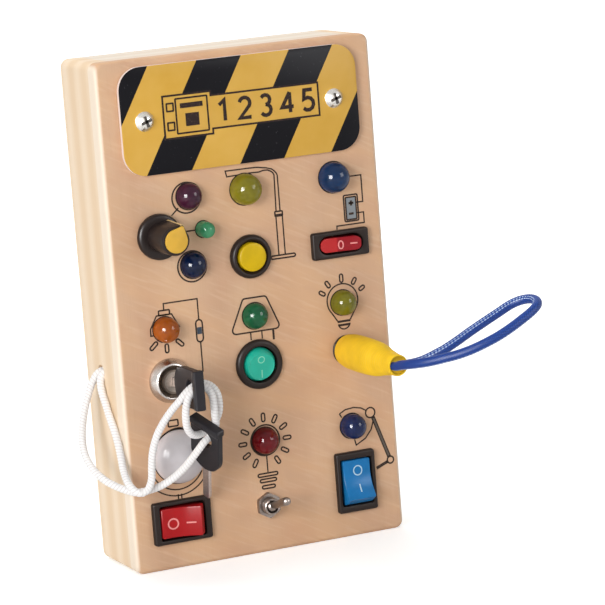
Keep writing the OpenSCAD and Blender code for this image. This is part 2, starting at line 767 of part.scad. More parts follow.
module slim_frame() on_panel(SLIM) rocker_frame(slim_w, slim_body_w, slim_window_w);
module slim_rocker() color("crimson") on_panel(SLIM) paddle(slim_window_w - 2 * paddle_gap,
    slim_window_w, slim_reach, slim_rise, slim_tilt, slim_ridge, true);
module red_frame() on_panel(RED) rocker_frame(rocker_w, rocker_body_w, window_w);
module red_rocker() color("crimson") on_panel(RED) square_paddle();
module blue_frame() on_panel(BLUE) rotate([0, 0, -90]) rocker_frame(rocker_w, rocker_body_w, window_w);
module blue_rocker() color("dodgerblue") on_panel(BLUE) rotate([0, 0, -90]) square_paddle();

module round_frame() {
    r = round_d / 2;
    color([0.12, 0.11, 0.12]) on_panel(ROUND) difference() {
        rotate_extrude() polygon(concat([[0, -rocker_depth], [round_body_d / 2, -rocker_depth],
            [round_body_d / 2, 0], [r, 0]], arc([r - 1.2, frame_t - 1.2], 1.2, 0, 90, 4), [[0, frame_t]]));
        post(round_window_d, -rocker_depth + rocker_wall, frame_t + 1);
        rotate([0, 0, -90]) trunnion(round_body_d + 2, 2 * snug);
    }
}

// A turned disc with its upper end raised
module round_rocker() {
    r = round_window_d / 2 - paddle_gap;
    color("mediumaquamarine") on_panel(ROUND) rotate([0, 0, 90]) {
        trunnion(round_window_d + 2 * trunnion_l);
        translate([0, 0, pivot_z]) rotate([0, -round_tilt, 0]) rotate_extrude() polygon(concat(
            [[0, -r * sin(48)]], arc([0, 0], r, -48, 16, 10),
            [[round_face_d / 2, round_rise], [0, round_rise]]));
    }
}

terminal_l = 5;
terminal_w = 3;
terminal_t = 0.8;
terminal_end = 22;
rocker_pitch = 8;
barrel_pitch = 6;

// A pair of flat terminals side by side along X, from depth a to depth b
module terminal_pair(pitch, w, a, b) {
    for (s = [-1, 1]) translate([s * pitch / 2, 0, 0]) block(terminal_t, w, -b, -a);
}

module terminals() {
    color("goldenrod") {
        for (p = [RED, SLIM, ROUND]) on_panel(p)
            terminal_pair(rocker_pitch, terminal_w, rocker_depth, rocker_depth + terminal_l);
        on_panel(BLUE) rotate([0, 0, 90])
            terminal_pair(rocker_pitch, terminal_w, rocker_depth, rocker_depth + terminal_l);
        on_panel(PUSH) terminal_pair(barrel_pitch, terminal_w - 1, push_body_l, terminal_end);
        on_panel(LOCK) terminal_pair(barrel_pitch, terminal_w - 1, lock_barrel_l, terminal_end);
        on_panel(TOGGLE) rotate([0, 0, 90])
            terminal_pair(barrel_pitch, terminal_w - 1, panel_t + toggle_body_l, terminal_end);
    }
}

// ---- lock and keys ----

module lock_housing() {
    r = lock_d / 2;
    color("silver") on_panel(LOCK) difference() {
        rotate_extrude() polygon(concat([[0, -lock_barrel_l], [lock_barrel_d / 2, -lock_barrel_l],
            [lock_barrel_d / 2, 0], [r, 0]], arc([r - 1.2, lock_flange_h - 1.2], 1.2, 0, 80, 4),
            [[core_d / 2 + 1.9, lock_flange_h], [core_d / 2 + 1.5, lock_core_h], [0, lock_core_h]]));
        post(core_d + 2 * snug, -lock_barrel_l + 2, lock_core_h + 1);
    }
}

module lock_core() {
    color("gray") on_panel(LOCK) difference() {
        post(core_d, -lock_barrel_l + 2 + snug, lock_core_h - 0.1);
        block(blade_t + slack, blade_w + slack, key_stand - blade_l - 0.5, lock_core_h + 1);
    }
}

// A key as it stands in the lock: blade towards +Y, origin in the middle of its end bar
module blade() {
    color("silver") difference() {
        translate([-blade_t / 2, bow_length - 3, -blade_w / 2]) cube([blade_t, blade_l + 3, blade_w]);
        translate([blade_t / 2 - 0.3, bow_length + 0.5, -0.3]) cube([1, blade_l, 0.9]);
    }
}

module head() {
    flat_l = bow_length - key_w / 2;
    color([0.13, 0.13, 0.14]) difference() {
        union() {
            rotate([0, 90, 0]) linear_extrude(key_t, center = true) polygon(concat(
                [[key_w / 2, 0]], arc([0, flat_l], key_w / 2, 0, 180, 16), [[-key_w / 2, 0]]));
            translate([-bar_w / 2, -bar_t / 2, -key_w / 2]) cube([bar_w, bar_t, key_w]);
        }
        translate([0, hole_from_bar, 0]) rotate([0, 90, 0])
            cylinder(d = key_hole_d, h = bar_w, center = true);
        translate([-blade_t / 2, bow_length - 3, -blade_w / 2]) cube([blade_t, 4, blade_w]);
    }
}

module key_blade() translate(KEY1) blade();
module key_head() translate(KEY1) head();
module spare_key_blade() translate(SPARE) rotate(SPARE_TURN) blade();
module spare_key_head() translate(SPARE) rotate(SPARE_TURN) head();

// ---- plug ----

module jack_socket() {
    color([0.15, 0.13, 0.12]) on_panel(JACK) difference() {
        union() {
            post(jack_d, -jack_l, jack_ring_h);
            post(jack_ring_d, 0, jack_ring_h);
        }
        post(pin_d + 2 * snug, -jack_l + 2, jack_ring_h + 1);
    }
}

module plug_pin() {
    r = pin_d / 2;
    color("gainsboro") on_panel(JACK) rotate_extrude() polygon([[0, plug_stand - pin_l],
        [0.6, plug_stand - pin_l], [r, plug_stand - pin_l + 2], [r - 0.4, plug_stand - pin_l + 3.2],
        [r, plug_stand - pin_l + 4], [r, plug_stand + 6], [0, plug_stand + 6]]);
}

// Half outline of the plug's body as height along its axis and radius there
PLUG = [[0, 5], [1.6, 5.8], [5, 6.25], [12, 6.3], [18, 6.3], [23, 6], [26, 5.6], [28, 5.1],
    [31, 4.6], [34, 4.2], [36, 3.9], [40, 3.7]];

module plug_body() {
    across = plug_d / 12.6;
    along = plug_l / 40;
    color("gold") on_panel(JACK) translate([0, 0, plug_stand]) difference() {
        rotate_extrude() polygon(concat([[0, 0]],
            [for (p = PLUG) [p[1] * across, p[0] * along]], [[0, plug_l]]));
        post(pin_d, -1, 6);
        post(plug_mouth_d, plug_l - plug_mouth_l, plug_l + 1);
    }
}

module blue_cord() color("royalblue")
    translate([JACK[0], front, JACK[1]] - JACK_DRAWN)
        tube(BLUE_LOOP, loop_d, [0.2, 0.5, -0.85], end_d = plug_mouth_d / 2 - 0.1);

// ---- toggle ----

toggle_body_w = 8;
toggle_body_h = 13;
toggle_body_l = 9;
toggle_pin_d = 1.4;

module toggle_housing() {
    color("silver") on_panel(TOGGLE) difference() {
        union() {
            block(toggle_body_w, toggle_body_h, -panel_t - toggle_body_l, -panel_t);
            post(bushing_d, -panel_t, bushing_h);
        }
        post(bushing_bore_d, -panel_t - 4, bushing_h + 1);
    }
}

module toggle_nut() {
    color("silver") on_panel(TOGGLE) difference() {
        hex(toggle_nut, 0, toggle_nut_h);
        post(bushing_d + 2 * snug, -1, toggle_nut_h + 1);
    }
}

module toggle_lever() {
    color("silver") on_panel(TOGGLE) translate([0, 0, toggle_pivot]) rotate([-lever_tilt, 0, 0]) {
        rotate_extrude() polygon(concat([[0, -3.6], [0.8, -3.6], [0.8, -1.9]],
            arc([0, 0], ball_r, -65, 60, 8), [[1.1, 2.4], [1.35, 4.5], [1.5, lever_l - 1.5]],
            arc([0, lever_l - 1.5], 1.5, 0, 90, 5)));
        rotate([0, 90, 0]) cylinder(d = toggle_pin_d, h = bushing_bore_d - 2 * snug - slack, center = true);
    }
}

// ---- behind the panel ----

rear_nut_w = 15;
jack_nut_w = 11;
rear_nut_t = 2.4;

module rear_nuts() {
    color("silver") {
        on_panel(PUSH) rear_nut(push_barrel_d, rear_nut_w);
        on_panel(LOCK) rear_nut(lock_barrel_d, rear_nut_w);
        on_panel(JACK) rear_nut(jack_d, jack_nut_w);
    }
}

module rear_nut(d, flats) {
    difference() {
        hex(flats, -panel_t - rear_nut_t, -panel_t);
        post(d + 2 * snug, -panel_t - rear_nut_t - 1, 0);
    }
}

// Each wire: from a lamp's lead to a place on the switch that lights it, at that depth
selector_end = panel_t + selector_body_l;
rocker_end = rocker_depth + terminal_l;
WIRES = [[LAMP_PURPLE, SELECTOR + [4, 4], selector_end], [LAMP_GREEN, SELECTOR + [5, 0], selector_end],
    [LAMP_NAVY, SELECTOR + [4, -4], selector_end], [LAMP_STREET, PUSH + [barrel_pitch / 2, 0], terminal_end],
    [LAMP_BLUE, SLIM + [rocker_pitch / 2, 0], rocker_end],
    [LAMP_ORANGE, LOCK + [barrel_pitch / 2, 0], terminal_end],
    [LAMP_TABLE, ROUND + [rocker_pitch / 2, 0], rocker_end],
    [LAMP_GLOBE, RED + [rocker_pitch / 2, 0], rocker_end],
    [LAMP_SUN, TOGGLE + [0, barrel_pitch / 2], terminal_end],
    [LAMP_DESK, BLUE + [0, rocker_pitch / 2], rocker_end], [LAMP_BULB, JACK + [2, 0], jack_l]];
wire_d = 1.2;
wire_y = front + terminal_end + 2.4;

module wires() {
    lead_y = front + panel_t + lamp_flange + lead_l;
    color("firebrick") for (w = WIRES) {
        a = [w[0][0] + lead_pitch / 2, lead_y, w[0][1]];
        b = [w[1][0], front + w[2], w[1][1]];
        tube([a, a + [0, 1.5, 0], [a[0], wire_y, a[2] - 2], (a + b) / 2 + [0, wire_y - (a[1] + b[1]) / 2, 0],
            [b[0], wire_y, b[2] + 1], b + [0, 0.8, 0], b], wire_d, [1, 0.02, 0], 6);
    }
}

// ---- key cord ----

module by_the_lock() {
    translate([LOCK[0], front, LOCK[1]] - LOCK_DRAWN) children();
}

module key_cord_hanging() {
    color("white") {
        by_the_lock() tube(CORD_FAR_BACK, cord_d, [0, 1, 0]);
        by_the_lock() tube(CORD_FAR_FRONT, cord_d, [0, 1, 0]);
        translate(CORD_EXIT + [rail_t + knot_seat, 0, 0]) sphere(d = knot_d);
    }
}

module key_cord_wrap() color("white") by_the_lock() tube(CORD_WRAP, cord_d, [0, 1, 0]);

front_panel();
rail_left();
rail_right();
rail_top();
rail_bottom();
back_panel();
back_screws();
battery_door();
battery_door_screw();
hazard_plate();
hazard_plate_screws();
lamp_purple();
lamp_small_green();
lamp_navy();
lamp_street();
lamp_battery();
lamp_orange();
lamp_table();
lamp_bulb();
lamp_globe();
lamp_sun();
lamp_desk();
lamp_leads();
selector_switch();
selector_shaft();
selector_knob();
selector_pointer();
push_housing();
push_cap();
push_spring();
slim_frame();
slim_rocker();
lock_housing();
lock_core();
key_blade();
key_head();
spare_key_blade();
spare_key_head();
round_frame();
round_rocker();
jack_socket();
plug_pin();
plug_body();
blue_cord();
red_frame();
red_rocker();
blue_frame();
blue_rocker();
toggle_housing();
toggle_nut();
toggle_lever();
rear_nuts();
terminals();
key_cord_hanging();
key_cord_wrap();
battery_holder();
battery_contacts();
cells();
wires();
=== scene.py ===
from math import asin, atan2, ceil, cos, hypot, pi, radians, sin, sqrt

import bmesh
import bpy
from mathutils import Matrix, Vector


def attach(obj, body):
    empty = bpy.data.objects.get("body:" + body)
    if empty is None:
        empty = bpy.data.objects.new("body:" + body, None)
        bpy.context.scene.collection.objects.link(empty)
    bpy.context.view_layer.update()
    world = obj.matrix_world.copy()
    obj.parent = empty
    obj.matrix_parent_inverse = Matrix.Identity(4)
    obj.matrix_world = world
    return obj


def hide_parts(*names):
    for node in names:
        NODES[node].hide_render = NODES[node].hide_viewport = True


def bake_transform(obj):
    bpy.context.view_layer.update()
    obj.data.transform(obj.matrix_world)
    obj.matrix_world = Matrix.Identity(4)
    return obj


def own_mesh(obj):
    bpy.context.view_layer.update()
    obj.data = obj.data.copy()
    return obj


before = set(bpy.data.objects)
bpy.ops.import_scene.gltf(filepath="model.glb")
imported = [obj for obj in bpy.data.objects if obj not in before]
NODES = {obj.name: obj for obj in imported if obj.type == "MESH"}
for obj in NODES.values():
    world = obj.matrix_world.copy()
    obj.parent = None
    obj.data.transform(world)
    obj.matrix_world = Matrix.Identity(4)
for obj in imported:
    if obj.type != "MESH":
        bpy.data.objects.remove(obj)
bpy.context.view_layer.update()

# ---- Wooden case: four rails, front panel, back panel ----
# Four solid pine rails are glued into a frame and sanded smooth, with the plywood
# front glued on. The back is thin plywood let into a rebate and held by six screws.


def linear(code):
    """Linear colour, with alpha, of an sRGB hex value."""
    parts = [int(code[i:i + 2], 16) / 255 for i in (1, 3, 5)]
    return [c / 12.92 if c <= 0.04045 else ((c + 0.055) / 1.055) ** 2.4 for c in parts] + [1]


COLOUR_OUT = 2      # a mix node's colour, among its outputs


def connect(mat, node, sockets):
    """Sets a node's sockets: a node or an output is linked, a hex colour is turned to linear."""
    for name, value in sockets.items():
        if isinstance(value, bpy.types.Node):
            value = value.outputs[COLOUR_OUT if getattr(value, "data_type", "") == "RGBA" else 0]
        if isinstance(value, bpy.types.NodeSocket):
            mat.node_tree.links.new(value, node.inputs[name])
        else:
            node.inputs[name].default_value = linear(value) if isinstance(value, str) else value
    return node


def add(mat, kind, sockets=None, stops=(), **settings):
    """Adds a node with its settings, its colour stops and its sockets."""
    node = mat.node_tree.nodes.new("ShaderNode" + kind)
    for name, value in settings.items():
        setattr(node, name, value)
    for i, (place, code) in enumerate(stops):
        stop = node.color_ramp.elements[i] if i < 2 else node.color_ramp.elements.new(place)
        stop.position, stop.color = place, linear(code)
    return connect(mat, node, sockets or {})


def finish(name, sockets=None):
    """A new material and its shader, with the sockets that are the same all over."""
    mat = bpy.data.materials.new(name)
    mat.use_nodes = True
    shader = mat.node_tree.nodes["Principled BSDF"]
    connect(mat, shader, sockets or {})
    return mat, shader


def millimetres(mat, stretch=(1, 1, 1)):
    """Places on the object in millimetres, drawn out along an axis where stretch is below 1.

    A noise of scale 1 / n on these places has patches of about n millimetres.
    """
    place = add(mat, "TexCoord").outputs["Object"]
    return add(mat, "Mapping", {"Vector": place, "Scale": [1000 * s for s in stretch]})


WAVE_LENGTH = 0.314159      # a wave texture of scale 1 repeats after this many units


def sawn_wood(name, pale, dark, streak, along, ring_mm, ring_axis, rings=0.35, figure_mm=16, edge=None):
    """Sanded wood: annual rings that run with the grain, soft figure, and fine fibres in relief."""
    mat, shader = finish(name, {"Roughness": 0.6, "Specular IOR Level": 0.3})
    slow = [0.055 if axis == along else 1 for axis in "XYZ"]
    fine = [0.03 if axis == along else 1 for axis in "XYZ"]
    ringed = millimetres(mat, slow)
    figure = add(mat, "TexNoise", {"Vector": ringed, "Scale": 1 / figure_mm, "Detail": 3, "Distortion": 0.4})
    ring = add(mat, "TexWave", {"Vector": ringed, "Scale": WAVE_LENGTH / ring_mm, "Distortion": 3.2,
                                "Detail": 2, "Detail Scale": 0.4}, bands_direction=ring_axis)
    fibre = add(mat, "TexNoise", {"Vector": millimetres(mat, fine), "Scale": 1 / 0.45, "Detail": 4,
                                  "Roughness": 0.6})
    tone = add(mat, "Mix", {0: rings, 2: figure, 3: ring.outputs["Fac"]}, data_type="FLOAT")
    ramp = add(mat, "ValToRGB", {"Fac": tone}, [(0.25, pale), (0.75, dark)])
    streaks = add(mat, "MapRange", {"Value": fibre, "From Min": 0.52, "From Max": 0.75, "To Max": 0.3})
    colour = add(mat, "Mix", {0: streaks, 6: ramp, 7: streak}, data_type="RGBA")
    # The front panel's rounded sides get a painted highlight in the edge colour
    if edge:
        colour = painted_edge_highlight(mat, slanting_figure(mat, colour), edge)
    relief = add(mat, "Bump", {"Height": fibre, "Strength": 0.12, "Distance": 0.0001})
    connect(mat, shader, {"Base Color": colour, "Normal": relief})
    return mat


FIGURE_SLANT = -27          # degrees, of the figure on the front
# Where the painted highlight on the front panel's rounded sides begins and is full
HIGHLIGHT_BAND = (0.0497, 0.0506)     # metres from the middle to where the front's rounded edge begins and is full


def slanting_figure(mat, colour):
    """Lays warm clouds and fine pale flecks that slant down to the right over a colour."""
    place = add(mat, "TexCoord").outputs["Object"]
    level = add(mat, "Mapping", {"Vector": place, "Rotation": (0, radians(FIGURE_SLANT), 0)})
    figures = ((40, 13, 0.42, 0.55, "#DDB086"), (16, 9, 0.5, 0.4, "#CF9F7F"), (14, 1.3, 0.52, 0.3, "#E6C9A6"))
    for long_mm, across_mm, low, share, tint in figures:
        scale = (1000 / long_mm, 1000, 1000 / across_mm)
        drawn = add(mat, "Mapping", {"Vector": level, "Scale": scale})
        noise = add(mat, "TexNoise", {"Vector": drawn, "Scale": 1, "Detail": 3, "Distortion": 0.3})
        fleck = add(mat, "MapRange", {"Value": noise, "From Min": low, "From Max": low + 0.2,
                                      "To Max": share})
        colour = add(mat, "Mix", {0: fleck, 6: colour, 7: tint}, data_type="RGBA")
    return colour


def painted_edge_highlight(mat, colour, edge):
    """Lays a painted highlight, a paler colour, over a colour where the front panel's sides are rounded."""
    place = add(mat, "SeparateXYZ", {0: add(mat, "TexCoord").outputs["Object"]})
    out = add(mat, "Math", {0: place.outputs["X"]}, operation="ABSOLUTE")
    end = add(mat, "MapRange", {"Value": out, "From Min": HIGHLIGHT_BAND[0], "From Max": HIGHLIGHT_BAND[1]})
    return add(mat, "Mix", {0: end, 6: colour, 7: edge}, data_type="RGBA")


def clad(node, mat):
    """Gives a node of the frame its finish."""
    data = NODES[node].data
    for i in range(max(1, len(data.materials))):
        if i < len(data.materials):
            data.materials[i] = mat
        else:
            data.materials.append(mat)


PINE_UPRIGHT = sawn_wood("pine_upright", "#F3DFC6", "#E9CFAE", "#E2C29C", "Z", 12, "Y", 0.45, 20)
PINE_ACROSS = sawn_wood("pine_across", "#EFE5D8", "#E5D5C2", "#DCC8B2", "X", 12, "Y", 0.4, 20)
# The front's last colour is a painted highlight on its rounded sides
BASSWOOD_PLY = sawn_wood("basswood_ply", "#DDB794", "#CBA283", "#C99E7C", "Z", 26, "X", 0.2, 18, "#F4E4D0")
BIRCH_PLY = sawn_wood("birch_ply", "#E2C7A2", "#D3B186", "#C5A074", "Z", 14, "X", 0.3)
clad("front_panel", BASSWOOD_PLY)
clad("rail_left", PINE_UPRIGHT)
clad("rail_right", PINE_UPRIGHT)
clad("rail_top", PINE_ACROSS)
clad("rail_bottom", PINE_ACROSS)
clad("back_panel", BIRCH_PLY)

# ---- Printed pictures on the front panel ----
# Thin outlines of lamps and wires are screen printed on the bare wood in dark brown
# ink, a few hundredths of a millimetre thick, with plain rounded line ends.

MM = 0.001
FACE = -16      # depth of the front panel's face


def on_panel(x=0, z=0, turn=0.0):
    """From millimetres at a place on the panel, with +Z out of it, to the frame's metres."""
    facing = Matrix(((1, 0, 0, 0), (0, 0, -1, 0), (0, 1, 0, 0), (0, 0, 0, 1)))
    return (Matrix.Translation((x * MM, FACE * MM, z * MM)) @ facing
            @ Matrix.Scale(MM, 4) @ Matrix.Rotation(radians(turn), 4, "Z"))


def loft(bm, rings, ring_shaped=False):
    """Skins rings of equally many points. The ends are closed, or joined if it is ring shaped."""
    rows = [[bm.verts.new(p) for p in ring] for ring in rings]
    pairs = list(zip(rows, rows[1:])) + ([(rows[-1], rows[0])] if ring_shaped else [])
    for low, high in pairs:
        for i in range(len(low)):
            j = (i + 1) % len(low)
            bm.faces.new((low[i], low[j], high[j], high[i]))
    if not ring_shaped:
        bm.faces.new(reversed(rows[0]))
        bm.faces.new(rows[-1])


def arc(centre, r, a, b, steps=6):
    """Points of an arc round centre from angle a to angle b, in degrees."""
    return [(centre[0] + r * cos(radians(a + (b - a) * i / steps)),
             centre[1] + r * sin(radians(a + (b - a) * i / steps))) for i in range(steps + 1)]


OPEN_LINE, CLOSED_LINE, HEAVY_LINE = 0.5, 0.56, 0.8


def line(bm, points, width=OPEN_LINE, closed=False, top=0.04, bottom=-0.1):
    """A printed line along 2-D points, as a thin solid that reaches just into what it is on."""
    last = len(points) - 1
    rings = []
    for i, p in enumerate(points):
        here, before, after = Vector(p), Vector(points[i - 1]), Vector(points[(i + 1) % len(points)])
        a = (here - before if closed or i else after - here).normalized()
        b = (after - here if closed or i < last else here - before).normalized()
        way = (a + b).normalized()
        half = width / 2 / max(0.5, way.dot(a))
        side = Vector((-way.y, way.x)) * half
        left, right = Vector(p) + side, Vector(p) - side
        rings.append([(*left, bottom), (*left, top), (*right, top), (*right, bottom)])
    loft(bm, rings, closed)


def degrees_of(a, b):
    """Direction from a to b in degrees."""
    return atan2(b[1] - a[1], b[0] - a[0]) * 180 / pi


def capsule(a, b, width):
    """Outline of a round-ended bar from a to b, its ends included."""
    way = degrees_of(a, b)
    r = width / 2
    length = hypot(b[0] - a[0], b[1] - a[1])
    dx, dy = (b[0] - a[0]) / length * r, (b[1] - a[1]) / length * r
    return (arc((a[0] + dx, a[1] + dy), r, way + 90, way + 270, 5)
            + arc((b[0] - dx, b[1] - dy), r, way - 90, way + 90, 5))


def piece(name, bm, place, body, mat, node=None, crease=32):
    """Turns a mesh drawn in millimetres into a named piece that rides on a body and stands for a node."""
    bm.transform(place)
    bmesh.ops.recalc_face_normals(bm, faces=bm.faces)
    for face in bm.faces:
        face.smooth = True
    for edge in bm.edges:
        edge.smooth = edge.calc_face_angle(0) < radians(crease)
    mesh = bpy.data.meshes.new(name)
    bm.to_mesh(mesh)
    bm.free()
    mesh.materials.append(mat)
    obj = bpy.data.objects.new(name, mesh)
    bpy.context.scene.collection.objects.link(obj)
    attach(obj, body)
    if node:
        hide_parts(node)
    return obj


def printing_ink(name, code):
    """Screen-printing ink: matt, with the wood's fibres breaking its tone a little."""
    mat, shader = finish(name, {"Roughness": 0.6, "Specular IOR Level": 0.15})
    speckle = add(mat, "TexNoise", {"Vector": millimetres(mat), "Scale": 1 / 0.5, "Detail": 3})
    thin = add(mat, "MapRange", {"Value": speckle, "From Min": 0.55, "From Max": 0.8, "To Max": 0.35})
    colour = add(mat, "Mix", {0: thin, 6: code, 7: "#9C7C62"}, data_type="RGBA")
    connect(mat, shader, {"Base Color": colour})
    return mat


BROWN_INK = printing_ink("brown_ink", "#33261F")
GREY_INK = printing_ink("grey_ink", "#8A9094")
SLATE_INK = printing_ink("slate_ink", "#3A4654")
UMBER_INK = printing_ink("umber_ink", "#5C534C")


def circle(x, z, r, sides=40):
    """Points of a circle, its start not repeated."""
    return arc((x, z), r, 0, 360 - 360 / sides, sides - 1)


def box_line(x0, z0, x1, z1, r=0.3):
    """Outline of a rectangle with slightly round corners."""
    return (arc((x1 - r, z1 - r), r, 0, 90, 3) + arc((x0 + r, z1 - r), r, 90, 180, 3)
            + arc((x0 + r, z0 + r), r, 180, 270, 3) + arc((x1 - r, z0 + r), r, 270, 360, 3))


def picture(name, opened=(), closed=(), heavy=()):
    """One printed picture, out of open lines, closed outlines and heavier lines."""
    bm = bmesh.new()
    for points in opened:
        line(bm, points)
    for points in closed:
        line(bm, points, CLOSED_LINE, closed=True)
    for points in heavy:
        line(bm, points, HEAVY_LINE)
    return piece(name, bm, on_panel(), "case", BROWN_INK)


picture("print_selector", [[(-27.6, 121.9), (-24.9, 124.2)], [(-25.6, 115.9), (-19.2, 115.9)]],
        [circle(-21.65, 127.35, 5.25), circle(-21.6, 103.7, 5.3)])
picture("print_street_lamp",
        [[(3.2, 132.9), (5.7, 132.8), (7.7, 133.2), (9.1, 133.1), (10.2, 132.6), (11, 132), (11.4, 131.1),
          (11.1, 118.6)],
         [(3.2, 132.9), (-6.2, 132.6), (-6.6, 134.6), (1.7, 134.6), (5.2, 134.5), (8.7, 133.9), (10.6, 133.3),
          (11.6, 132.5), (12.3, 131.6), (12.6, 130.9), (12.6, 118.6)],
         [(10.7, 117.3), (13.3, 117.3)], [(10.9, 116.9), (10.9, 103.2)], [(13.3, 116.9), (13.3, 103.2)]],
        [box_line(10.6, 116.8, 13.4, 118.4, 0.2), capsule((7.9, 102.65), (17.1, 102.65), 1.1)])
picture("print_battery",
        [[(39.1, 127.15), (44.2, 127.15), (44.2, 117.8), (41.8, 117.8)],
         [(41.8, 114.1), (44.2, 114.1), (44.2, 110.4), (33.6, 110.4), (33.6, 109.2)]],
        [box_line(36.9, 111.5, 42.2, 120.7, 0.5), box_line(37.6, 112.1, 41.5, 119.9, 0.2)],
        [[(38.7, 117.8), (40.6, 117.8)], [(39.65, 116.9), (39.65, 118.7)], [(38.6, 114.1), (40.4, 114.1)]])
fill = bmesh.new()
loft(fill, [[(x, z, h) for x, z in box_line(37.6, 112.1, 41.5, 119.9, 0.2)] for h in (-0.1, 0.02)])
piece("print_battery_fill", fill, on_panel(), "case", GREY_INK)
picture("print_pendant_lamp",
        [[(-33.3, 90.1), (-33.3, 92.4), (-20.8, 92.4), (-20.8, 85.1)],
         [(-20.8, 77.4), (-20.8, 67.2), (-21.6, 67.2)],
         [(-37.6, 81.9), (-38.8, 81.9), (-38.7, 84.2), (-36.2, 88.5), (-30.6, 88.5), (-28, 83.5)]],
        [box_line(-35.3, 88.5, -31.3, 90.1, 0.3), capsule((-20.85, 77.4), (-20.85, 85.1), 2.4),
         capsule((-39.3, 77.2), (-36.7, 79.5), 1.25), capsule((-33.3, 75.4), (-33.3, 78.4), 1.25),
         capsule((-27.2, 77.1), (-29.6, 79.4), 1.25)])
switch = bmesh.new()
line(switch, [(-20.85, 80.1), (-20.85, 82.5)], 1.7)
piece("print_pendant_switch", switch, on_panel(), "case", SLATE_INK)
picture("print_table_lamp",
        [[(-2, 77.9), (-2, 75.2)], [(2.2, 77.9), (2.2, 75.2)]],
        [arc((-7.4, 79.3), 1.3, 160, 270, 3) + arc((7.6, 79.3), 1.3, 270, 380, 3)
         + arc((3.9, 88.7), 1.2, 20, 90, 3) + arc((-3.2, 88.7), 1.2, 90, 160, 3)],
        [[(6.5, 77.9), (6.5, 74.3)]])
picture("print_bulb",
        [arc((33.6, 84.2), 5.9, -140, -400, 30) + [(36, 77.1)], [(29.1, 80.4), (31.2, 77.1)],
         arc((33.6, 76.4), 2.3, 190, 350, 8)],
        [capsule((33.75, 90.6), (33.75, 93.5), 1.2), capsule((29.1, 89.4), (27.7, 91.6), 1.2),
         capsule((37.8, 89.4), (39.2, 91.5), 1.2), capsule((27.1, 87), (25, 88.3), 1.2),
         capsule((40.3, 87), (42.3, 88.2), 1.2)],
        [[(31.1, 76.9), (36.1, 76.9)], [(31.5, 75.6), (35.7, 75.6)]])
picture("print_globe",
        [arc((-33.1, 37.6), 10, 208, 332, 14), arc((-33.3, 37.8), 12.3, 218, 322, 14),
         [(-33.75, 26), (-33.75, 24.3)], [(-32.5, 26), (-32.5, 24.3)]],
        [box_line(-35.2, 49.8, -31.6, 51.9, 0.3)])
picture("print_sun",
        [[(0.28, 34.2), (0.28, 28.3)]],
        [circle(0.2, 39.6, 5.4)]
        + [capsule(*(arc((0.1, 39.3), r, a, a, 1)[0] for r in (6.9, 9.9)), 1.25) for a in range(-60, 270, 30)]
        + [capsule((0.2 - half, z), (0.2 + half, z), 1.1)
           for half, z in ((3.75, 27.4), (3.1, 25.4), (2.45, 23.1))])
picture("print_desk_lamp",
        [[(29.1, 44.4), (31.5, 45.6), (34.7, 45.9), (37.5, 45.3), (39.3, 44.2)], [(29.1, 44.4), (29.9, 43)],
         [(42.3, 41.3), (40.9, 37.1), (38.5, 34.3), (34.7, 32.4), (34.2, 34.5)]],
        [circle(41, 43.1, 1.8, 24), circle(47.5, 25.1, 1.25, 20)])
arm = bmesh.new()
line(arm, [(41.9, 41.4), (47.1, 26.3)], 1.5)
line(arm, [(46.5, 24.7), (41.9, 22.9)], 1.1)
piece("print_desk_lamp_arm", arm, on_panel(), "case", BROWN_INK)
inlay = bmesh.new()
line(inlay, [(42.05, 41), (46.95, 26.7)], 0.7, top=0.06)
piece("print_desk_lamp_inlay", inlay, on_panel(), "case", UMBER_INK)

# ---- Hazard plate with its two screws ----
# A 2 mm plate of polystyrene with round corners, printed yellow with black slanting
# stripes and a plain label, and held by two domed cross-head screws.

PLATE = (0.4, 155.1)
PLATE_SIZE = (88, 37, 8)                            # its length, its height and its corners' radius
PLATE_T = 2
STRIPE_PITCH, STRIPE_WIDTH = 0.03435, 0.0165        # metres along the plate
STRIPE_LEAN = 0.577                                 # sideways for each metre up
STRIPE_START = -0.0254 - STRIPE_LEAN * 0.155        # a stripe's edge, carried down to the board's foot


def rounded(w, l, r, h, steps=6, inset=0):
    """Ring of points at height h of a rectangle with round corners, drawn in by an inset."""
    x, y = w / 2 - r, l / 2 - r
    corners = ((x, y, 0), (-x, y, 90), (-x, -y, 180), (x, -y, 270))
    return [(px, py, h) for cx, cy, a in corners for px, py in arc((cx, cy), r - inset, a, a + 90, steps)]


def yellow_print(mat, patch_mm):
    """The plate's yellow, in soft patches of two tones."""
    cloud = add(mat, "TexNoise", {"Vector": millimetres(mat), "Scale": 1 / patch_mm, "Detail": 3})
    return add(mat, "ValToRGB", {"Fac": cloud}, [(0.3, "#DDB055"), (0.7, "#D5A646")])


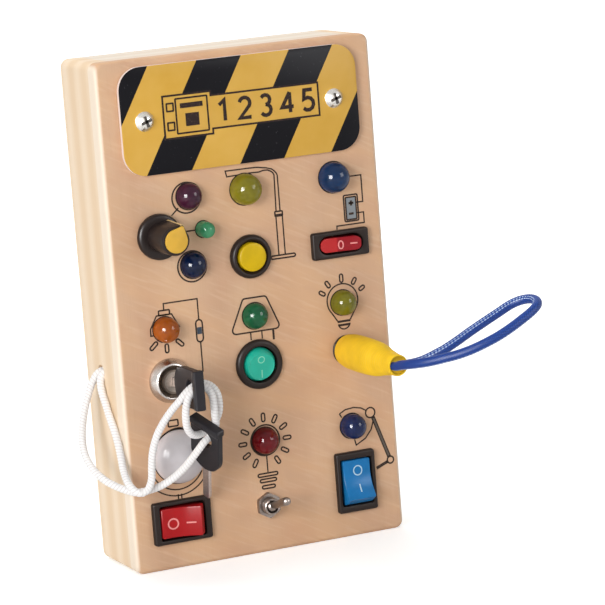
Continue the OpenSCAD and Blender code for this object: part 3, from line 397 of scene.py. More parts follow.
def printed_plate():
    """Gloss-printed polystyrene: yellow, with black stripes that lean 30 degrees from upright."""
    mat, shader = finish("printed_polystyrene", {"Roughness": 0.35, "Specular IOR Level": 0.1})
    xyz = add(mat, "SeparateXYZ", {0: add(mat, "TexCoord").outputs["Object"]})
    lean = add(mat, "Math", {0: xyz.outputs["Z"], 1: -STRIPE_LEAN}, operation="MULTIPLY")
    across = add(mat, "Math", {0: xyz.outputs["X"], 1: lean}, operation="ADD")
    shifted = add(mat, "Math", {0: across, 1: 5 * STRIPE_PITCH - STRIPE_START}, operation="ADD")
    within = add(mat, "Math", {0: shifted, 1: STRIPE_PITCH}, operation="MODULO")
    black = add(mat, "Math", {0: within, 1: STRIPE_WIDTH}, operation="LESS_THAN")
    dust = add(mat, "TexNoise", {"Vector": millimetres(mat), "Scale": 1 / 0.8, "Detail": 2})
    speck = add(mat, "MapRange", {"Value": dust, "From Min": 0.7, "From Max": 0.76, "To Max": 0.4})
    ink = add(mat, "Mix", {0: speck, 6: "#0A090F", 7: "#55535A"}, data_type="RGBA")
    print_ = add(mat, "Mix", {0: black, 6: yellow_print(mat, 12), 7: ink}, data_type="RGBA")
    side = add(mat, "MapRange", {"Value": xyz.outputs["Y"], "From Min": (FACE - PLATE_T + 0.2) * MM,
                                 "From Max": (FACE - PLATE_T + 0.3) * MM})
    colour = add(mat, "Mix", {0: side, 6: print_, 7: "#E8D9D2"}, data_type="RGBA")
    orange_peel = add(mat, "Bump", {"Height": dust, "Strength": 0.04, "Distance": 0.0001})
    connect(mat, shader, {"Base Color": colour, "Normal": orange_peel})
    return mat


plate = bmesh.new()
loft(plate, [rounded(*PLATE_SIZE, h, 12, inset)
             for inset, h in ((0.3, 0), (0, 0.3), (0, PLATE_T - 0.35), (0.1, PLATE_T - 0.1),
                              (0.35, PLATE_T))])
piece("hazard_plate_printed", plate, on_panel(*PLATE), "case", printed_plate(),
      "hazard_plate")

LABEL_YELLOW, label_shader = finish("label_yellow", {"Roughness": 0.35, "Specular IOR Level": 0.15})
connect(LABEL_YELLOW, label_shader, {"Base Color": yellow_print(LABEL_YELLOW, 9)})
BLACK_INK = printing_ink("black_ink", "#1E0E0B")

# The label: a block and a band with the plain numbers one to five
label_outline = [(-28.2, 148.2), (-10.6, 148.2), (-10.6, 149.9), (29.4, 149.9),
                 (29.4, 161.2), (-10.6, 161.2), (-10.6, 162.7), (-28.2, 162.7)]
label = bmesh.new()
loft(label, [[(x, z, h) for x, z in label_outline] for h in (PLATE_T - 0.1, PLATE_T + 0.03)])
piece("hazard_label", label, on_panel(), "case", LABEL_YELLOW)
NUMBERS = {
    1: [[(0.08, 0.78), (0.36, 1), (0.36, 0)]],
    2: [arc((0.3, 0.72), 0.28, 165, -30, 8) + [(0.02, 0.02), (0.62, 0.02)]],
    3: [arc((0.28, 0.76), 0.24, 150, -90, 8), arc((0.28, 0.27), 0.27, 90, -150, 8)],
    4: [[(0.46, 0), (0.46, 0.98)], [(0.46, 1), (0.02, 0.28), (0.64, 0.28)]],
    5: [[(0.55, 1), (0.12, 1), (0.08, 0.56)] + arc((0.28, 0.31), 0.31, 120, -140, 8)]}
PROUD, SUNK = PLATE_T + 0.07, PLATE_T - 0.1     # top and foot of the label's print
TALL, APART = 7, 7.9                            # height of a number, and the step to the next
lettering = bmesh.new()
for points, width, closed in ((label_outline, 0.65, True),
                              (box_line(-23.6, 149.6, -12, 161.4, 0.2), 0.6, True),
                              ([(-22, 158.9), (-13.7, 158.9)], 1.7, False),
                              ([(-20.3, 154), (-15.3, 154)], 4.4, False),
                              (box_line(-26.9, 151, -24.5, 153.6, 0.1), 0.6, True),
                              (box_line(-26.9, 157.5, -24.5, 160.1, 0.1), 0.6, True)):
    line(lettering, points, width, closed, PROUD, SUNK)
for number, strokes in NUMBERS.items():
    for i, stroke in enumerate(strokes):
        # each stroke of a number stands a little higher, so that crossing strokes don't share a face
        line(lettering, [(-16.2 + APART * number + TALL * x, 152.1 + TALL * z) for x, z in stroke], 1.3,
             top=PROUD + 0.02 * i, bottom=SUNK)
piece("hazard_label_print", lettering, on_panel(), "case", BLACK_INK)


def shaded(code, share):
    """A hex colour taken down to that share of its value."""
    return "#" + "".join(f"{min(255, round(int(code[i:i + 2], 16) * share)):02X}" for i in (1, 3, 5))


def plated_metal(name, code, rough, mark=0.05):
    """Plated metal: a clear reflection, broken by fine marks of turning and handling."""
    mat, shader = finish(name, {"Metallic": 1.0})
    marks = add(mat, "TexNoise", {"Vector": millimetres(mat), "Scale": 1 / 0.6, "Detail": 4})
    shine = add(mat, "MapRange", {"Value": marks, "To Min": rough * 0.6, "To Max": rough * 1.5})
    tone = add(mat, "ValToRGB", {"Fac": marks}, [(0.3, code), (0.75, shaded(code, 0.86))])
    relief = add(mat, "Bump", {"Height": marks, "Strength": mark, "Distance": 0.0001})
    connect(mat, shader, {"Base Color": tone, "Roughness": shine,
                          "Normal": relief})
    return mat


AXIS_R = 0.02       # a turned shape's ends close on a ring this small


def turned(bm, profile, sides=64):
    """A turned shape: each (radius, height) of the profile swept round the axis."""
    loft(bm, [[(max(r, AXIS_R) * cos(2 * pi * i / sides), max(r, AXIS_R) * sin(2 * pi * i / sides), h)
               for i in range(sides)] for r, h in profile])


STEEL = plated_metal("zinc_plated_steel", "#D9D6D0", 0.24)
# Painted shade: a dark metal that stands in for the shade down in the screws' cross recesses
PAINTED_SHADE_RECESS = plated_metal("painted_shade_recess", "#4A4642", 0.45)
CROWN = PLATE_T + 2.2       # height of the head's top
for side, x in (("left", -35.2), ("right", 35.2)):
    head = bmesh.new()
    dome = 3.65             # radius of the ball that the head is a cap of
    turned(head, [(0, -5), (1.4, -4.2), (1.4, PLATE_T), (3.35, PLATE_T), (3.35, PLATE_T + 0.25)]
           + [arc((0, CROWN - dome), dome, a, a, 1)[0] for a in (32, 45, 58, 70, 81)] + [(0, CROWN)])
    piece(f"plate_screw_{side}", head, on_panel(x, PLATE[1]), "case", STEEL, "hazard_plate_screws")
    # Painted shade: the cross is a dark piece laid on the dome, where the real recess is only in shade
    cross = bmesh.new()
    for turn in (18, 108):
        a = radians(turn)
        ends = [(-1.9 * cos(a), -1.9 * sin(a)), (1.9 * cos(a), 1.9 * sin(a))]
        line(cross, ends, 1.0, top=CROWN + 0.01, bottom=CROWN - 1)
    piece(f"plate_screw_cross_{side}", cross, on_panel(x, PLATE[1]), "case", PAINTED_SHADE_RECESS)

# ---- Lamps ----
# Eleven lamps of cast epoxy, coloured right through and left glossy by the mould, each
# pushed in from behind until its flange meets the panel. The globe is a milky shallow lens.


def cast_epoxy(name, code, deep):
    """Coloured cast epoxy: light goes a little way in, and its skin has the mould's wet gloss."""
    mat, shader = finish(name, {"Roughness": 0.06, "Specular IOR Level": 0.2, "Subsurface Weight": 0.35,
                                "Subsurface Radius": (1.0, 1.0, 1.0), "Subsurface Scale": 0.0016})
    cloud = add(mat, "TexNoise", {"Vector": millimetres(mat), "Scale": 1 / 5, "Detail": 2})
    tone = add(mat, "ValToRGB", {"Fac": cloud}, [(0.3, code), (0.75, deep)])
    ripple = add(mat, "Bump", {"Height": cloud, "Strength": 0.02, "Distance": 0.0001})
    connect(mat, shader, {"Base Color": tone, "Normal": ripple})
    return mat


# Each lamp's node, place, width, the height of its straight wall, its two tones and its slot
LAMPS = [("lamp_purple", -20.8, 127.8, 9.1, 0.4, "#4B1E36", "#37152B", "purple_lens"),
         ("lamp_small_green", -16.4, 115.9, 5.6, 3.4, "#4AA073", "#3A8C60", "green_lens"),
         ("lamp_navy", -21.2, 104.1, 9.1, 0.4, "#0E2049", "#081633", "navy_lens"),
         ("lamp_street", 0, 127.6, 10.8, 1.6, "#8F8822", "#7A7216", "olive_lens"),
         ("lamp_battery", 33.5, 127.6, 10.8, 1.2, "#123663", "#0B274C", "blue_lens"),
         ("lamp_orange", -33.5, 83.5, 8.7, 2, "#AE5914", "#92460A", "orange_lens"),
         ("lamp_table", 0, 83.5, 9.1, 0.5, "#1D6C44", "#124F32", "green_lens"),
         ("lamp_bulb", 33.5, 83.5, 8.8, 1.5, "#807C1E", "#6A6616", "olive_lens"),
         ("lamp_globe", -32.3, 39.1, 18.6, 0.5, "#DAD7DB", "#D1CDD1", "white_lens"),
         ("lamp_sun", 0, 39.5, 9.4, 0.6, "#781019", "#590A12", "red_lens"),
         ("lamp_desk", 33.5, 39.5, 8.8, 2, "#1B2A5C", "#121E45", "navy_lens")]
GLOBE_RISE = 6.4        # the other lamps end in half a ball
# Painted shade: a dark ring flush with the panel round each lamp stands in for the shadowed gap round its
# hole
PAINTED_SHADE_GAP = printing_ink("painted_shade_gap", "#1E130D")
holes = bmesh.new()     # a dark ring round each lamp, painted shade in the gap between the lamp and its hole
for name, x, z, d, wall, code, deep, slot in LAMPS:
    r = d / 2
    rise = GLOBE_RISE if name == "lamp_globe" else r
    loft(holes, [[(x + reach * px, z + reach * pz, h) for px, pz in circle(0, 0, 1, 64)]
                 for reach, h in ((r - 0.2, -0.2), (r - 0.2, 0.03), (r + 0.3, 0.03), (r + 0.35, -0.2))], True)
    foot = [(0, -7.2), (r + 0.4, -7.2), (r + 0.5, -7.1), (r + 0.5, -6), (r, -6)]
    nose = [(r * cos(radians(a)), wall + rise * sin(radians(a))) for a in range(0, 90, 5)]
    lens = bmesh.new()
    turned(lens, foot + nose + [(0, wall + rise)], 72)
    piece(name + "_lens", lens, on_panel(x, z), "case", cast_epoxy(slot + "_" + name[5:], code, deep),
          name)
piece("lamp_hole_painted_shade", holes, on_panel(), "case", PAINTED_SHADE_GAP)
TINNED = plated_metal("tinned_wire", "#C9C6C0", 0.35)
clad("lamp_leads", TINNED)

# ---- Selector with its pointer knob ----
# A rotary switch behind the panel with a steel shaft. The knob is black phenolic, pressed
# on the shaft, with a yellow insert and a painted line down the ridge of its pointer.


def moulded_plastic(name, code, rough=0.38, grain_mm=0.35, grain=0.06, gloss=0.15):
    """Moulded plastic: even colour with slow shading, and a fine spark-eroded skin."""
    mat, shader = finish(name, {"IOR": 1.5, "Specular IOR Level": gloss})
    cloud = add(mat, "TexNoise", {"Vector": millimetres(mat), "Scale": 1 / 5, "Detail": 3})
    tone = add(mat, "ValToRGB", {"Fac": cloud}, [(0.3, shaded(code, 1.03)), (0.75, shaded(code, 0.95))])
    skin = add(mat, "TexNoise", {"Vector": millimetres(mat), "Scale": 1 / grain_mm, "Detail": 2})
    shine = add(mat, "MapRange", {"Value": skin, "To Min": rough * 0.8, "To Max": rough * 1.25})
    relief = add(mat, "Bump", {"Height": skin, "Strength": grain, "Distance": 0.00008})
    connect(mat, shader, {"Base Color": tone, "Roughness": shine,
                          "Normal": relief})
    return mat


BLACK_PHENOLIC = moulded_plastic("black_phenolic", "#2A2220", 0.3)
YELLOW_INSERT = moulded_plastic("yellow_polystyrene", "#DCAE42", 0.4)
CREAM_PAINT = moulded_plastic("cream_paint", "#E6C78C", 0.5)
GREY_NYLON = moulded_plastic("grey_nylon", "#5B5B5E", 0.5)
SELECTOR = (-33.1, 115.5)
POINTER_TURN = -30      # degrees at rest
TIP_R = 0.6


def pointer(r, reach, h):
    """Ring of a circle drawn out to a round tip, at height h."""
    a = asin(r / (reach + TIP_R)) * 180 / pi
    return [(px, py, h) for px, py in
            arc((0, 0), r, 180 - a, 360 + a, 36) + arc((0, reach - TIP_R), TIP_R, a, 180 - a, 6)]


KNOB_PLACE = on_panel(*SELECTOR, POINTER_TURN)
knob = bmesh.new()
turned(knob, [(5.9, 0.4), (7.6, 0.4), (7.9, 0.7), (7.9, 1.9), (7.7, 2.5), (7.2, 2.9), (6.7, 3), (4, 3),
              (3, 2.6)])
loft(knob, [pointer(5 - i, reach - i, h)
            for i, reach, h in ((0, 6.4, 1), (0, 6.4, 3), (0, 5.9, 15.6), (0.12, 5.9, 16),
                                (0.4, 5.9, 16.35))])
piece("selector_knob_body", knob, KNOB_PLACE, "selector", BLACK_PHENOLIC, "selector_knob")
insert = bmesh.new()
loft(insert, [pointer(4.05 - i, 5.5 - i, h) for i, h in ((0, 16.2), (0, 16.7), (0.1, 16.9), (0.35, 17))])
piece("selector_pointer_insert", insert, KNOB_PLACE, "selector", YELLOW_INSERT,
      "selector_pointer")
ridge = bmesh.new()
loft(ridge, [[(x, y, h) for x, y in arc((0, reach - TIP_R), TIP_R + 0.12, -20, 200, 12)]
             for reach, h in ((6.4, 3.1), (5.88, 16))])
piece("selector_ridge_line", ridge, KNOB_PLACE, "selector", CREAM_PAINT)
clad("selector_switch", GREY_NYLON)
clad("selector_shaft", STEEL)

# ---- Push button ----
# A 12 mm push button: threaded black barrel with a smooth domed bezel, and a flat
# yellow cap that a coil spring pushes out.

BLACK_ABS = moulded_plastic("black_abs", "#2A211D", 0.4)
YELLOW_ABS = moulded_plastic("yellow_abs", "#D6B308", 0.4)
PUSH = (0, 104.3)
bezel = bmesh.new()
turned(bezel, [(0, -19), (5.8, -19), (6, -18.8), (6, -0.4), (6, 0), (7.4, 0), (7.6, 0.25), (7.6, 0.9),
               (7.45, 1.5), (7.15, 2), (6.8, 2.3), (6.45, 2.4), (6.1, 2.3), (5.85, 2), (5.3, 1), (5.1, 0.7),
               (5.1, -15), (0, -15)])
piece("push_bezel", bezel, on_panel(*PUSH), "case", BLACK_ABS, "push_housing")
cap = bmesh.new()
turned(cap, [(0, -4.8), (4.8, -4.8), (5, -4.6), (5, 2.5), (4.9, 2.85), (4.65, 3.05), (4, 3.13), (0, 3.2)])
piece("push_cap_face", cap, on_panel(*PUSH), "button", YELLOW_ABS, "push_cap")
coil = bmesh.new()
wire_r, coil_r, coil_low, coil_high, coil_turns = 0.3, 3.5, -14.65, -5.2, 5
rows = []
for i in range(30 * coil_turns + 1):
    a = 2 * pi * i / 30
    climb = (coil_high - coil_low) * i / (30 * coil_turns)
    rows.append([((coil_r + out) * cos(a), (coil_r + out) * sin(a), coil_low + climb + up)
                 for out, up in circle(0, 0, wire_r, 10)])
loft(coil, rows)
spring = piece("push_coil", coil, on_panel(*PUSH), "case", STEEL, "push_spring")
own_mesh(spring)

# ---- Rocker switches ----
# Four snap-in rockers. Each has a black frame with its body behind the panel, and a
# glossy paddle that tilts on two pins, with its marks for on and off in a paler plastic.

ROCKER_DEPTH = 15
PIVOT = -0.4            # height of the pins over the panel
END_R = 8               # radius of a paddle's ends about the pins
# The frame's bezel, body and window, each by its length, width and corner, then the paddle's width,
# half its length, the height of its ends over the pivot, its tilt at rest and the place of its valley
SQUARE = {"bezel": (21.5, 15, 0.9), "body": (19.2, 13.4, 0.4), "window": (16.7, 12.1, 0.6),
          "width": 10.2, "reach": 7.0, "rise": 4.7, "tilt": 16, "valley": 0}
SLIM = {"bezel": (21.5, 9.5, 0.9), "body": (19.2, 7.9, 0.4), "window": (16.7, 6.5, 3.24),
        "width": 4.9, "reach": 7.4, "rise": 3.5, "tilt": 8, "valley": -1.3}


def rocker_frame(name, place, shape, node):
    """Frame, body and window of a rectangular rocker as one hollow moulding."""
    bm = bmesh.new()
    rings = [rounded(*shape["body"], h) for h in (-ROCKER_DEPTH, 0)]
    rings += [rounded(*shape["bezel"], h, inset=inset)
              for inset, h in ((0, 0), (0, 1.3), (0.12, 1.7), (0.4, 1.95), (0.6, 2))]
    rings += [rounded(*shape["window"], h, inset=inset)
              for inset, h in ((-0.3, 2), (-0.08, 1.9), (0, 1.6), (0, 1.1 - ROCKER_DEPTH))]
    loft(bm, rings)
    return piece(name, bm, place, "case", BLACK_ABS, node)


def tilted(place, tilt):
    """A rocker's own axes, with its +X end raised about the pins."""
    return place @ Matrix.Translation((0, 0, PIVOT)) @ Matrix.Rotation(radians(-tilt), 4, "Y")


VALLEY_HALF = 3.5       # the two faces of a paddle run into each other over this much on each side


def face_height(shape, x):
    """Height of a paddle's two faces over the pivot, rounded where they meet."""
    fall = sin(radians(shape["tilt"])) / cos(radians(shape["tilt"]))
    low = shape["rise"] - (shape["reach"] + shape["valley"]) * fall
    climb = (shape["rise"] - low) / (shape["reach"] - shape["valley"])
    off = x - shape["valley"]
    if abs(off) < VALLEY_HALF:
        return low + (climb + fall) * (off + VALLEY_HALF) ** 2 / (4 * VALLEY_HALF) - fall * off
    return low + (climb if off > 0 else -fall) * off


def paddle(name, place, body, shape, mat, node, round_ends=False):
    """A paddle of two flat faces that meet in a shallow valley, its ends round about the pins."""
    reach, rise, valley, half = shape["reach"], shape["rise"], shape["valley"], shape["width"] / 2
    down = arc((0, 0), END_R, -35, -35, 1)[0]
    faces = [reach - 1] + [valley + VALLEY_HALF * (6 - i) / 6 for i in range(13)] + [1 - reach]
    edge = ([down] + arc((0, 0), END_R, -25, 20, 8)
            + [(reach, rise - 0.4), (reach - 0.08, rise - 0.15), (reach - 0.3, rise - 0.05)]
            + [(x, face_height(shape, x)) for x in faces]
            + [(0.3 - reach, rise - 0.05), (0.08 - reach, rise - 0.15), (-reach, rise - 0.4)]
            + arc((0, 0), END_R, 160, 205, 8) + [(-down[0], down[1])])
    bm = bmesh.new()
    loft(bm, [[(x * s, y, h * s) for x, h in edge]
              for y, s in ((-half, 0.955), (-half + 0.1, 0.98), (-half + 0.35, 1), (half - 0.35, 1),
                           (half - 0.1, 0.98), (half, 0.955))])
    if round_ends:
        ends = bmesh.new()
        loft(ends, [rounded(15, shape["width"], half - 0.01, h, 16) for h in (-9, 9)])
        clipped = intersect(bm, ends)
        bm.free()
        ends.free()
        bm = clipped
    return piece(name, bm, tilted(place, shape["tilt"]), body, mat, node)


def intersect(a, b):
    """The part that two meshes share."""
    objs = []
    for bm in (a, b):
        bmesh.ops.recalc_face_normals(bm, faces=bm.faces)
        mesh = bpy.data.meshes.new("stock")
        bm.to_mesh(mesh)
        objs.append(bpy.data.objects.new("stock", mesh))
        bpy.context.scene.collection.objects.link(objs[-1])
    cut = objs[0].modifiers.new("cut", "BOOLEAN")
    cut.operation, cut.solver, cut.object = "INTERSECT", "EXACT", objs[1]
    shaped = objs[0].evaluated_get(bpy.context.evaluated_depsgraph_get())
    result = bmesh.new()
    result.from_mesh(shaped.to_mesh())
    for obj in objs:
        mesh = obj.data
        bpy.data.objects.remove(obj)
        bpy.data.meshes.remove(mesh)
    return result


def marks(name, place, body, shape, strokes, mat):
    """Marks that stand a hair proud of a paddle's faces: (points, width, closed) each."""
    bm = bmesh.new()
    for points, width, closed in strokes:
        line(bm, points, width, closed, top=0.04, bottom=-0.15)
    for vert in bm.verts:
        vert.co.z += face_height(shape, vert.co.x)
    return piece(name, bm, tilted(place, shape["tilt"]), body, mat)


# Painted light and shade: the slim paddle is lighter at its left end and darker at its right
PAINTED_SHADE_FROM = (0.0322, 0.0329)      # where, across the board in metres, the slim paddle turns from light to dark


def red_with_painted_shade():
    """Clear red polycarbonate, with painted light and shade: lighter at its left end and darker at its right.
    """
    mat, shader = finish("red_polycarbonate", {"Roughness": 0.2, "Specular IOR Level": 0.18})
    xyz = add(mat, "SeparateXYZ", {0: add(mat, "TexCoord").outputs["Object"]})
    cloud = add(mat, "TexNoise", {"Vector": millimetres(mat), "Scale": 1 / 1.2, "Detail": 3})
    wander = add(mat, "Math", {0: cloud, 1: 0.0006, 2: xyz.outputs["X"]}, operation="MULTIPLY_ADD")
    dark = add(mat, "MapRange", {"Value": wander, "From Min": PAINTED_SHADE_FROM[0], "From Max": PAINTED_SHADE_FROM[1]})
    # the lighter and darker reds are painted light and shade
    colour = add(mat, "Mix", {0: dark, 6: "#C02A2C", 7: "#981420"}, data_type="RGBA")
    relief = add(mat, "Bump", {"Height": cloud, "Strength": 0.05, "Distance": 0.0001})
    connect(mat, shader, {"Base Color": colour, "Normal": relief})
    return mat


RED_GLOSS = moulded_plastic("red_abs", "#AC181D", 0.3)
BLUE_GLOSS = moulded_plastic("blue_abs", "#1C78B9", 0.3)
GREEN_CLEAR = moulded_plastic("green_polycarbonate", "#20BCA2", 0.15, gloss=0.3)
PINK_MARK = moulded_plastic("pink_marking", "#EE9A98", 0.4)
PALE_BLUE_MARK = moulded_plastic("pale_blue_marking", "#B9DDF0", 0.4)
PALE_GREEN_MARK = moulded_plastic("pale_green_marking", "#8FE3C8", 0.3)

red_place = on_panel(-33.4, 16.8)
rocker_frame("red_bezel", red_place, SQUARE, "red_frame")
paddle("red_paddle", red_place, "red", SQUARE, RED_GLOSS, "red_rocker")
marks("red_marks", red_place, "red", SQUARE,
      [(circle(-3, -0.3, 1.75, 24), 0.5, True), ([(1.6, -0.4), (4.9, -0.4)], 0.5, False)], PINK_MARK)

blue_place = on_panel(33.2, 19.8, -90)
rocker_frame("blue_bezel", blue_place, SQUARE, "blue_frame")
paddle("blue_paddle", blue_place, "blue", SQUARE, BLUE_GLOSS, "blue_rocker")
marks("blue_marks", blue_place, "blue", SQUARE,
      [(circle(-3.2, 0.3, 1.6, 24), 0.4, True), ([(1.6, 0.2), (4.5, 0.2)], 0.45, False)], PALE_BLUE_MARK)

slim_place = on_panel(33.9, 104.3)
rocker_frame("slim_bezel", slim_place, SLIM, "slim_frame")
paddle("slim_paddle", slim_place, "slim", SLIM, red_with_painted_shade(), "slim_rocker", True)
oval = [(0.85 * x, 1.35 * y - 0.2) for x, y in circle(0, 0, 1, 20)]
marks("slim_marks", slim_place, "slim", SLIM,
      [(oval, 0.45, True), ([(3.4, 0), (5.9, 0)], 0.5, False)], PINK_MARK)

round_place = on_panel(0, 66.6, 90)
ring = bmesh.new()
turned(ring, [(0, -15), (7.3, -15), (7.4, -14.9), (7.4, 0), (8.5, 0), (8.65, 0.2), (8.65, 0.9), (8.5, 1.4),
              (8.1, 1.8), (7.5, 2), (6.8, 2), (6.45, 1.9), (6.35, 1.5), (6.35, -13.9), (0, -13.9)])
piece("round_bezel", ring, round_place, "case", BLACK_ABS, "round_frame")
ROUND_TILT = 12
disc = bmesh.new()      # its clear face has fine rings inside a raised rim
turned(disc, [(0, -4.45)] + arc((0, 0), 6, -48, 16, 10)
       + [(5.05, 2.8), (4.9, 3), (4.75, 3.05), (4.6, 3), (4.45, 2.9)]
       + [(4.3 - 0.3 * i, 2.88 - 0.035 * (i % 2)) for i in range(14)] + [(0, 2.88)], 80)
piece("round_paddle", disc, tilted(round_place, ROUND_TILT), "round", GREEN_CLEAR,
      "round_rocker")
letters = bmesh.new()
line(letters, circle(2.5, 0.05, 1.15, 24), 0.32, True, top=2.94, bottom=2.7)
line(letters, [(-1.3, -0.2), (-4.1, -0.35)], 0.36, top=2.94, bottom=2.7)
piece("round_marks", letters, tilted(round_place, ROUND_TILT), "round", PALE_GREEN_MARK)
BRASS = plated_metal("brass_terminal", "#D8B15A", 0.3)
clad("terminals", BRASS)

# ---- Key lock and keys ----
# A cam lock: a chromed flange on a threaded barrel, with a zinc core that turns with the
# key. Both keys have a nickelled steel blade in a black plastic head with a cross bar.

CHROME = plated_metal("chrome_plate", "#C8C2BE", 0.22, mark=0.02)
NICKEL = plated_metal("nickel_plate", "#BFB4B0", 0.38)
BLACK_NYLON = moulded_plastic("black_nylon", "#28262A", 0.36)
LOCK = (-33.2, 65.8)
flange = bmesh.new()
turned(flange, [(0, -18), (5.8, -18), (6, -17.8), (6, 0), (7.55, 0), (7.7, 0.15), (7.7, 0.8), (7.6, 1.15),
                (7.4, 1.5), (6.5, 3.2), (6.25, 3.6), (6, 3.8), (5.8, 3.85), (5.65, 3.8), (5.5, 3.6),
                (4.4, 2.5), (4.2, 2.2), (4.15, -16), (0, -16)], 96)
piece("lock_flange", flange, on_panel(*LOCK), "case", CHROME, "lock_housing")


SHADE_RING_FROM = 0.0033      # radius in metres outside which the core's face is painted darker, as shade in the flange's recess


def lock_zinc():
    """Cast zinc, painted darker in a ring round the core's face, as shade in the flange's recess."""
    mat = plated_metal("lock_zinc", "#A69C92", 0.4)
    place = add(mat, "TexCoord").outputs["Object"]
    off = add(mat, "VectorMath", {0: place, 1: (LOCK[0] * MM, 0, LOCK[1] * MM)}, operation="SUBTRACT")
    flat = add(mat, "VectorMath", {0: off, 1: (1, 0, 1)}, operation="MULTIPLY")
    away = add(mat, "VectorMath", {0: flat}, operation="LENGTH").outputs["Value"]
    ring = add(mat, "MapRange", {"Value": away, "From Min": SHADE_RING_FROM, "From Max": SHADE_RING_FROM + 0.0003})
    shader = mat.node_tree.nodes["Principled BSDF"]
    metal = shader.inputs["Base Color"].links[0].from_socket
    colour = add(mat, "Mix", {0: ring, 6: metal, 7: "#75695F"}, data_type="RGBA")
    connect(mat, shader, {"Base Color": colour})
    return mat


clad("lock_core", lock_zinc())

# A key's head: its width, its length, and the cord hole's place from the bar and radius
KEY_W, BOW, KEY_HOLE_Y, HOLE_R = 13.6, 18.85, 5.2, 3.2


def key_head(name, place, body, node):
    """A key's head: a flat bow with a round end and a cord hole, and a bar across its other end."""
    half = KEY_W / 2
    round_from = BOW - half         # the bow's end is half a circle from here on
    angles = sorted([360 * i / 64 for i in range(64)]
                    + [atan2(-KEY_HOLE_Y, s * half) * 180 / pi % 360 for s in (-1, 1)])
    rim = []
    for a in angles:
        c, s = cos(radians(a)), sin(radians(a))
        reach = half / abs(c) if abs(c) > 1e-6 else 1e9
        if s < 0:
            reach = min(reach, KEY_HOLE_Y / -s)
        elif KEY_HOLE_Y + reach * s > round_from:
            b = s * (round_from - KEY_HOLE_Y)
            reach = b + sqrt(b * b - (round_from - KEY_HOLE_Y) ** 2 + half * half)
        rim.append((c, s, reach))
    bm = bmesh.new()
    rings = []
    for x, inset in ((-1.1, 0.25), (-0.85, 0), (0.85, 0), (1.1, 0.25)):
        rings.append([(x, KEY_HOLE_Y + (reach - inset) * s, (reach - inset) * c) for c, s, reach in rim])
    for x, r in ((1.1, HOLE_R + 0.25), (0.85, HOLE_R), (-0.85, HOLE_R), (-1.1, HOLE_R + 0.25)):
        rings.append([(x, KEY_HOLE_Y + r * s, r * c) for c, s, reach in rim])
    loft(bm, rings, ring_shaped=True)
    loft(bm, [rounded(3.6 - 2 * i, 2.7 - 2 * i, 0.5, h, 3)
              for i, h in ((0.3, -half), (0, -half + 0.3), (0, half - 0.3), (0.3, half))])
    return piece(name, bm, place, body, BLACK_NYLON, node)


def key_blade(name, place, body, node):
    """A key's blade, with a milled groove along one side and a tapered tip."""
    section = [(-0.65, -1.4), (-0.5, -1.55), (0.5, -1.55), (0.65, -1.4), (0.65, -0.3), (0.35, -0.2),
               (0.35, 0.5), (0.65, 0.6), (0.65, 1.4), (0.5, 1.55), (-0.5, 1.55), (-0.65, 1.4)]
    bm = bmesh.new()
    loft(bm, [[(x * s, y, z * s) for x, z in section]
              for y, s in ((BOW - 3, 1), (BOW + 12.2, 1), (BOW + 12.9, 0.82), (BOW + 13.2, 0.6))])
    return piece(name, bm, place, body, NICKEL, node)


# One key stands straight in the lock. The other hangs from the cord, turned about all three axes
KEY1 = Matrix.Translation((-0.0332, -0.04135, 0.0658)) @ Matrix.Scale(MM, 4)
SPARE = Matrix.Translation((-0.0289, -0.0351, 0.0522))
for degrees, axis in ((16.2, "Z"), (-16.65, "Y"), (-65.3, "X")):
    SPARE = SPARE @ Matrix.Rotation(radians(degrees), 4, axis)
SPARE = SPARE @ Matrix.Scale(MM, 4)
key_head("key_head_bow", KEY1, "key", "key_head")
key_blade("key_blade_steel", KEY1, "key", "key_blade")
key_head("spare_key_head_bow", SPARE, "tether", "spare_key_head")
key_blade("spare_key_blade_steel", SPARE, "tether", "spare_key_blade")

# ---- Plug, jack and blue pull cord ----
# A panel jack with a black ring, and a 3.5 mm plug in a yellow rubber body with a ribbed
# neck. A loop of blue elastic cord with a white fleck has both its ends in the neck.

YELLOW_RUBBER = moulded_plastic("yellow_rubber", "#FCCC2A", 0.5, 0.5, 0.08)
JACK = (33.7, 66.7)
PLUG_STAND, PLUG_LENGTH = 1.1, 40       # from the panel to the plug's body, and its length
socket = bmesh.new()
turned(socket, [(0, -20), (4, -20), (4, 0), (5.2, 0), (5.3, 0.1), (5.3, 0.6), (5.1, 0.8), (2.2, 0.8),
                (1.8, 0.5), (1.8, -18), (0, -18)])
piece("jack_ring", socket, on_panel(*JACK), "case", BLACK_ABS, "jack_socket")
PLUG = [(0, 4.7), (0.3, 5.2), (1.6, 5.8), (5, 6.2), (12, 6.3), (18, 6.25), (23, 6), (26, 5.6), (28, 5.1),
        (31, 4.6), (34, 4.2), (36, 3.9), (39.6, 3.7), (PLUG_LENGTH, 3.5)]
RIB_PITCH, RIB_DEPTH, RIBS_FROM, RIBS_TO = 1.3, 0.16, 20, 36


def plug_radius(h):
    """Radius of the plug's body at height h, with its ribs."""
    (h0, r0), (h1, r1) = next((low, high) for low, high in zip(PLUG, PLUG[1:]) if h <= high[0])
    r = r0 + (r1 - r0) * (h - h0) / (h1 - h0)
    ribbed = min(1, max(0, (h - RIBS_FROM) / 2), max(0, (RIBS_TO - h) / 1.5))
    return r - RIB_DEPTH * ribbed * (0.5 - 0.5 * cos(2 * pi * h / RIB_PITCH)) ** 2


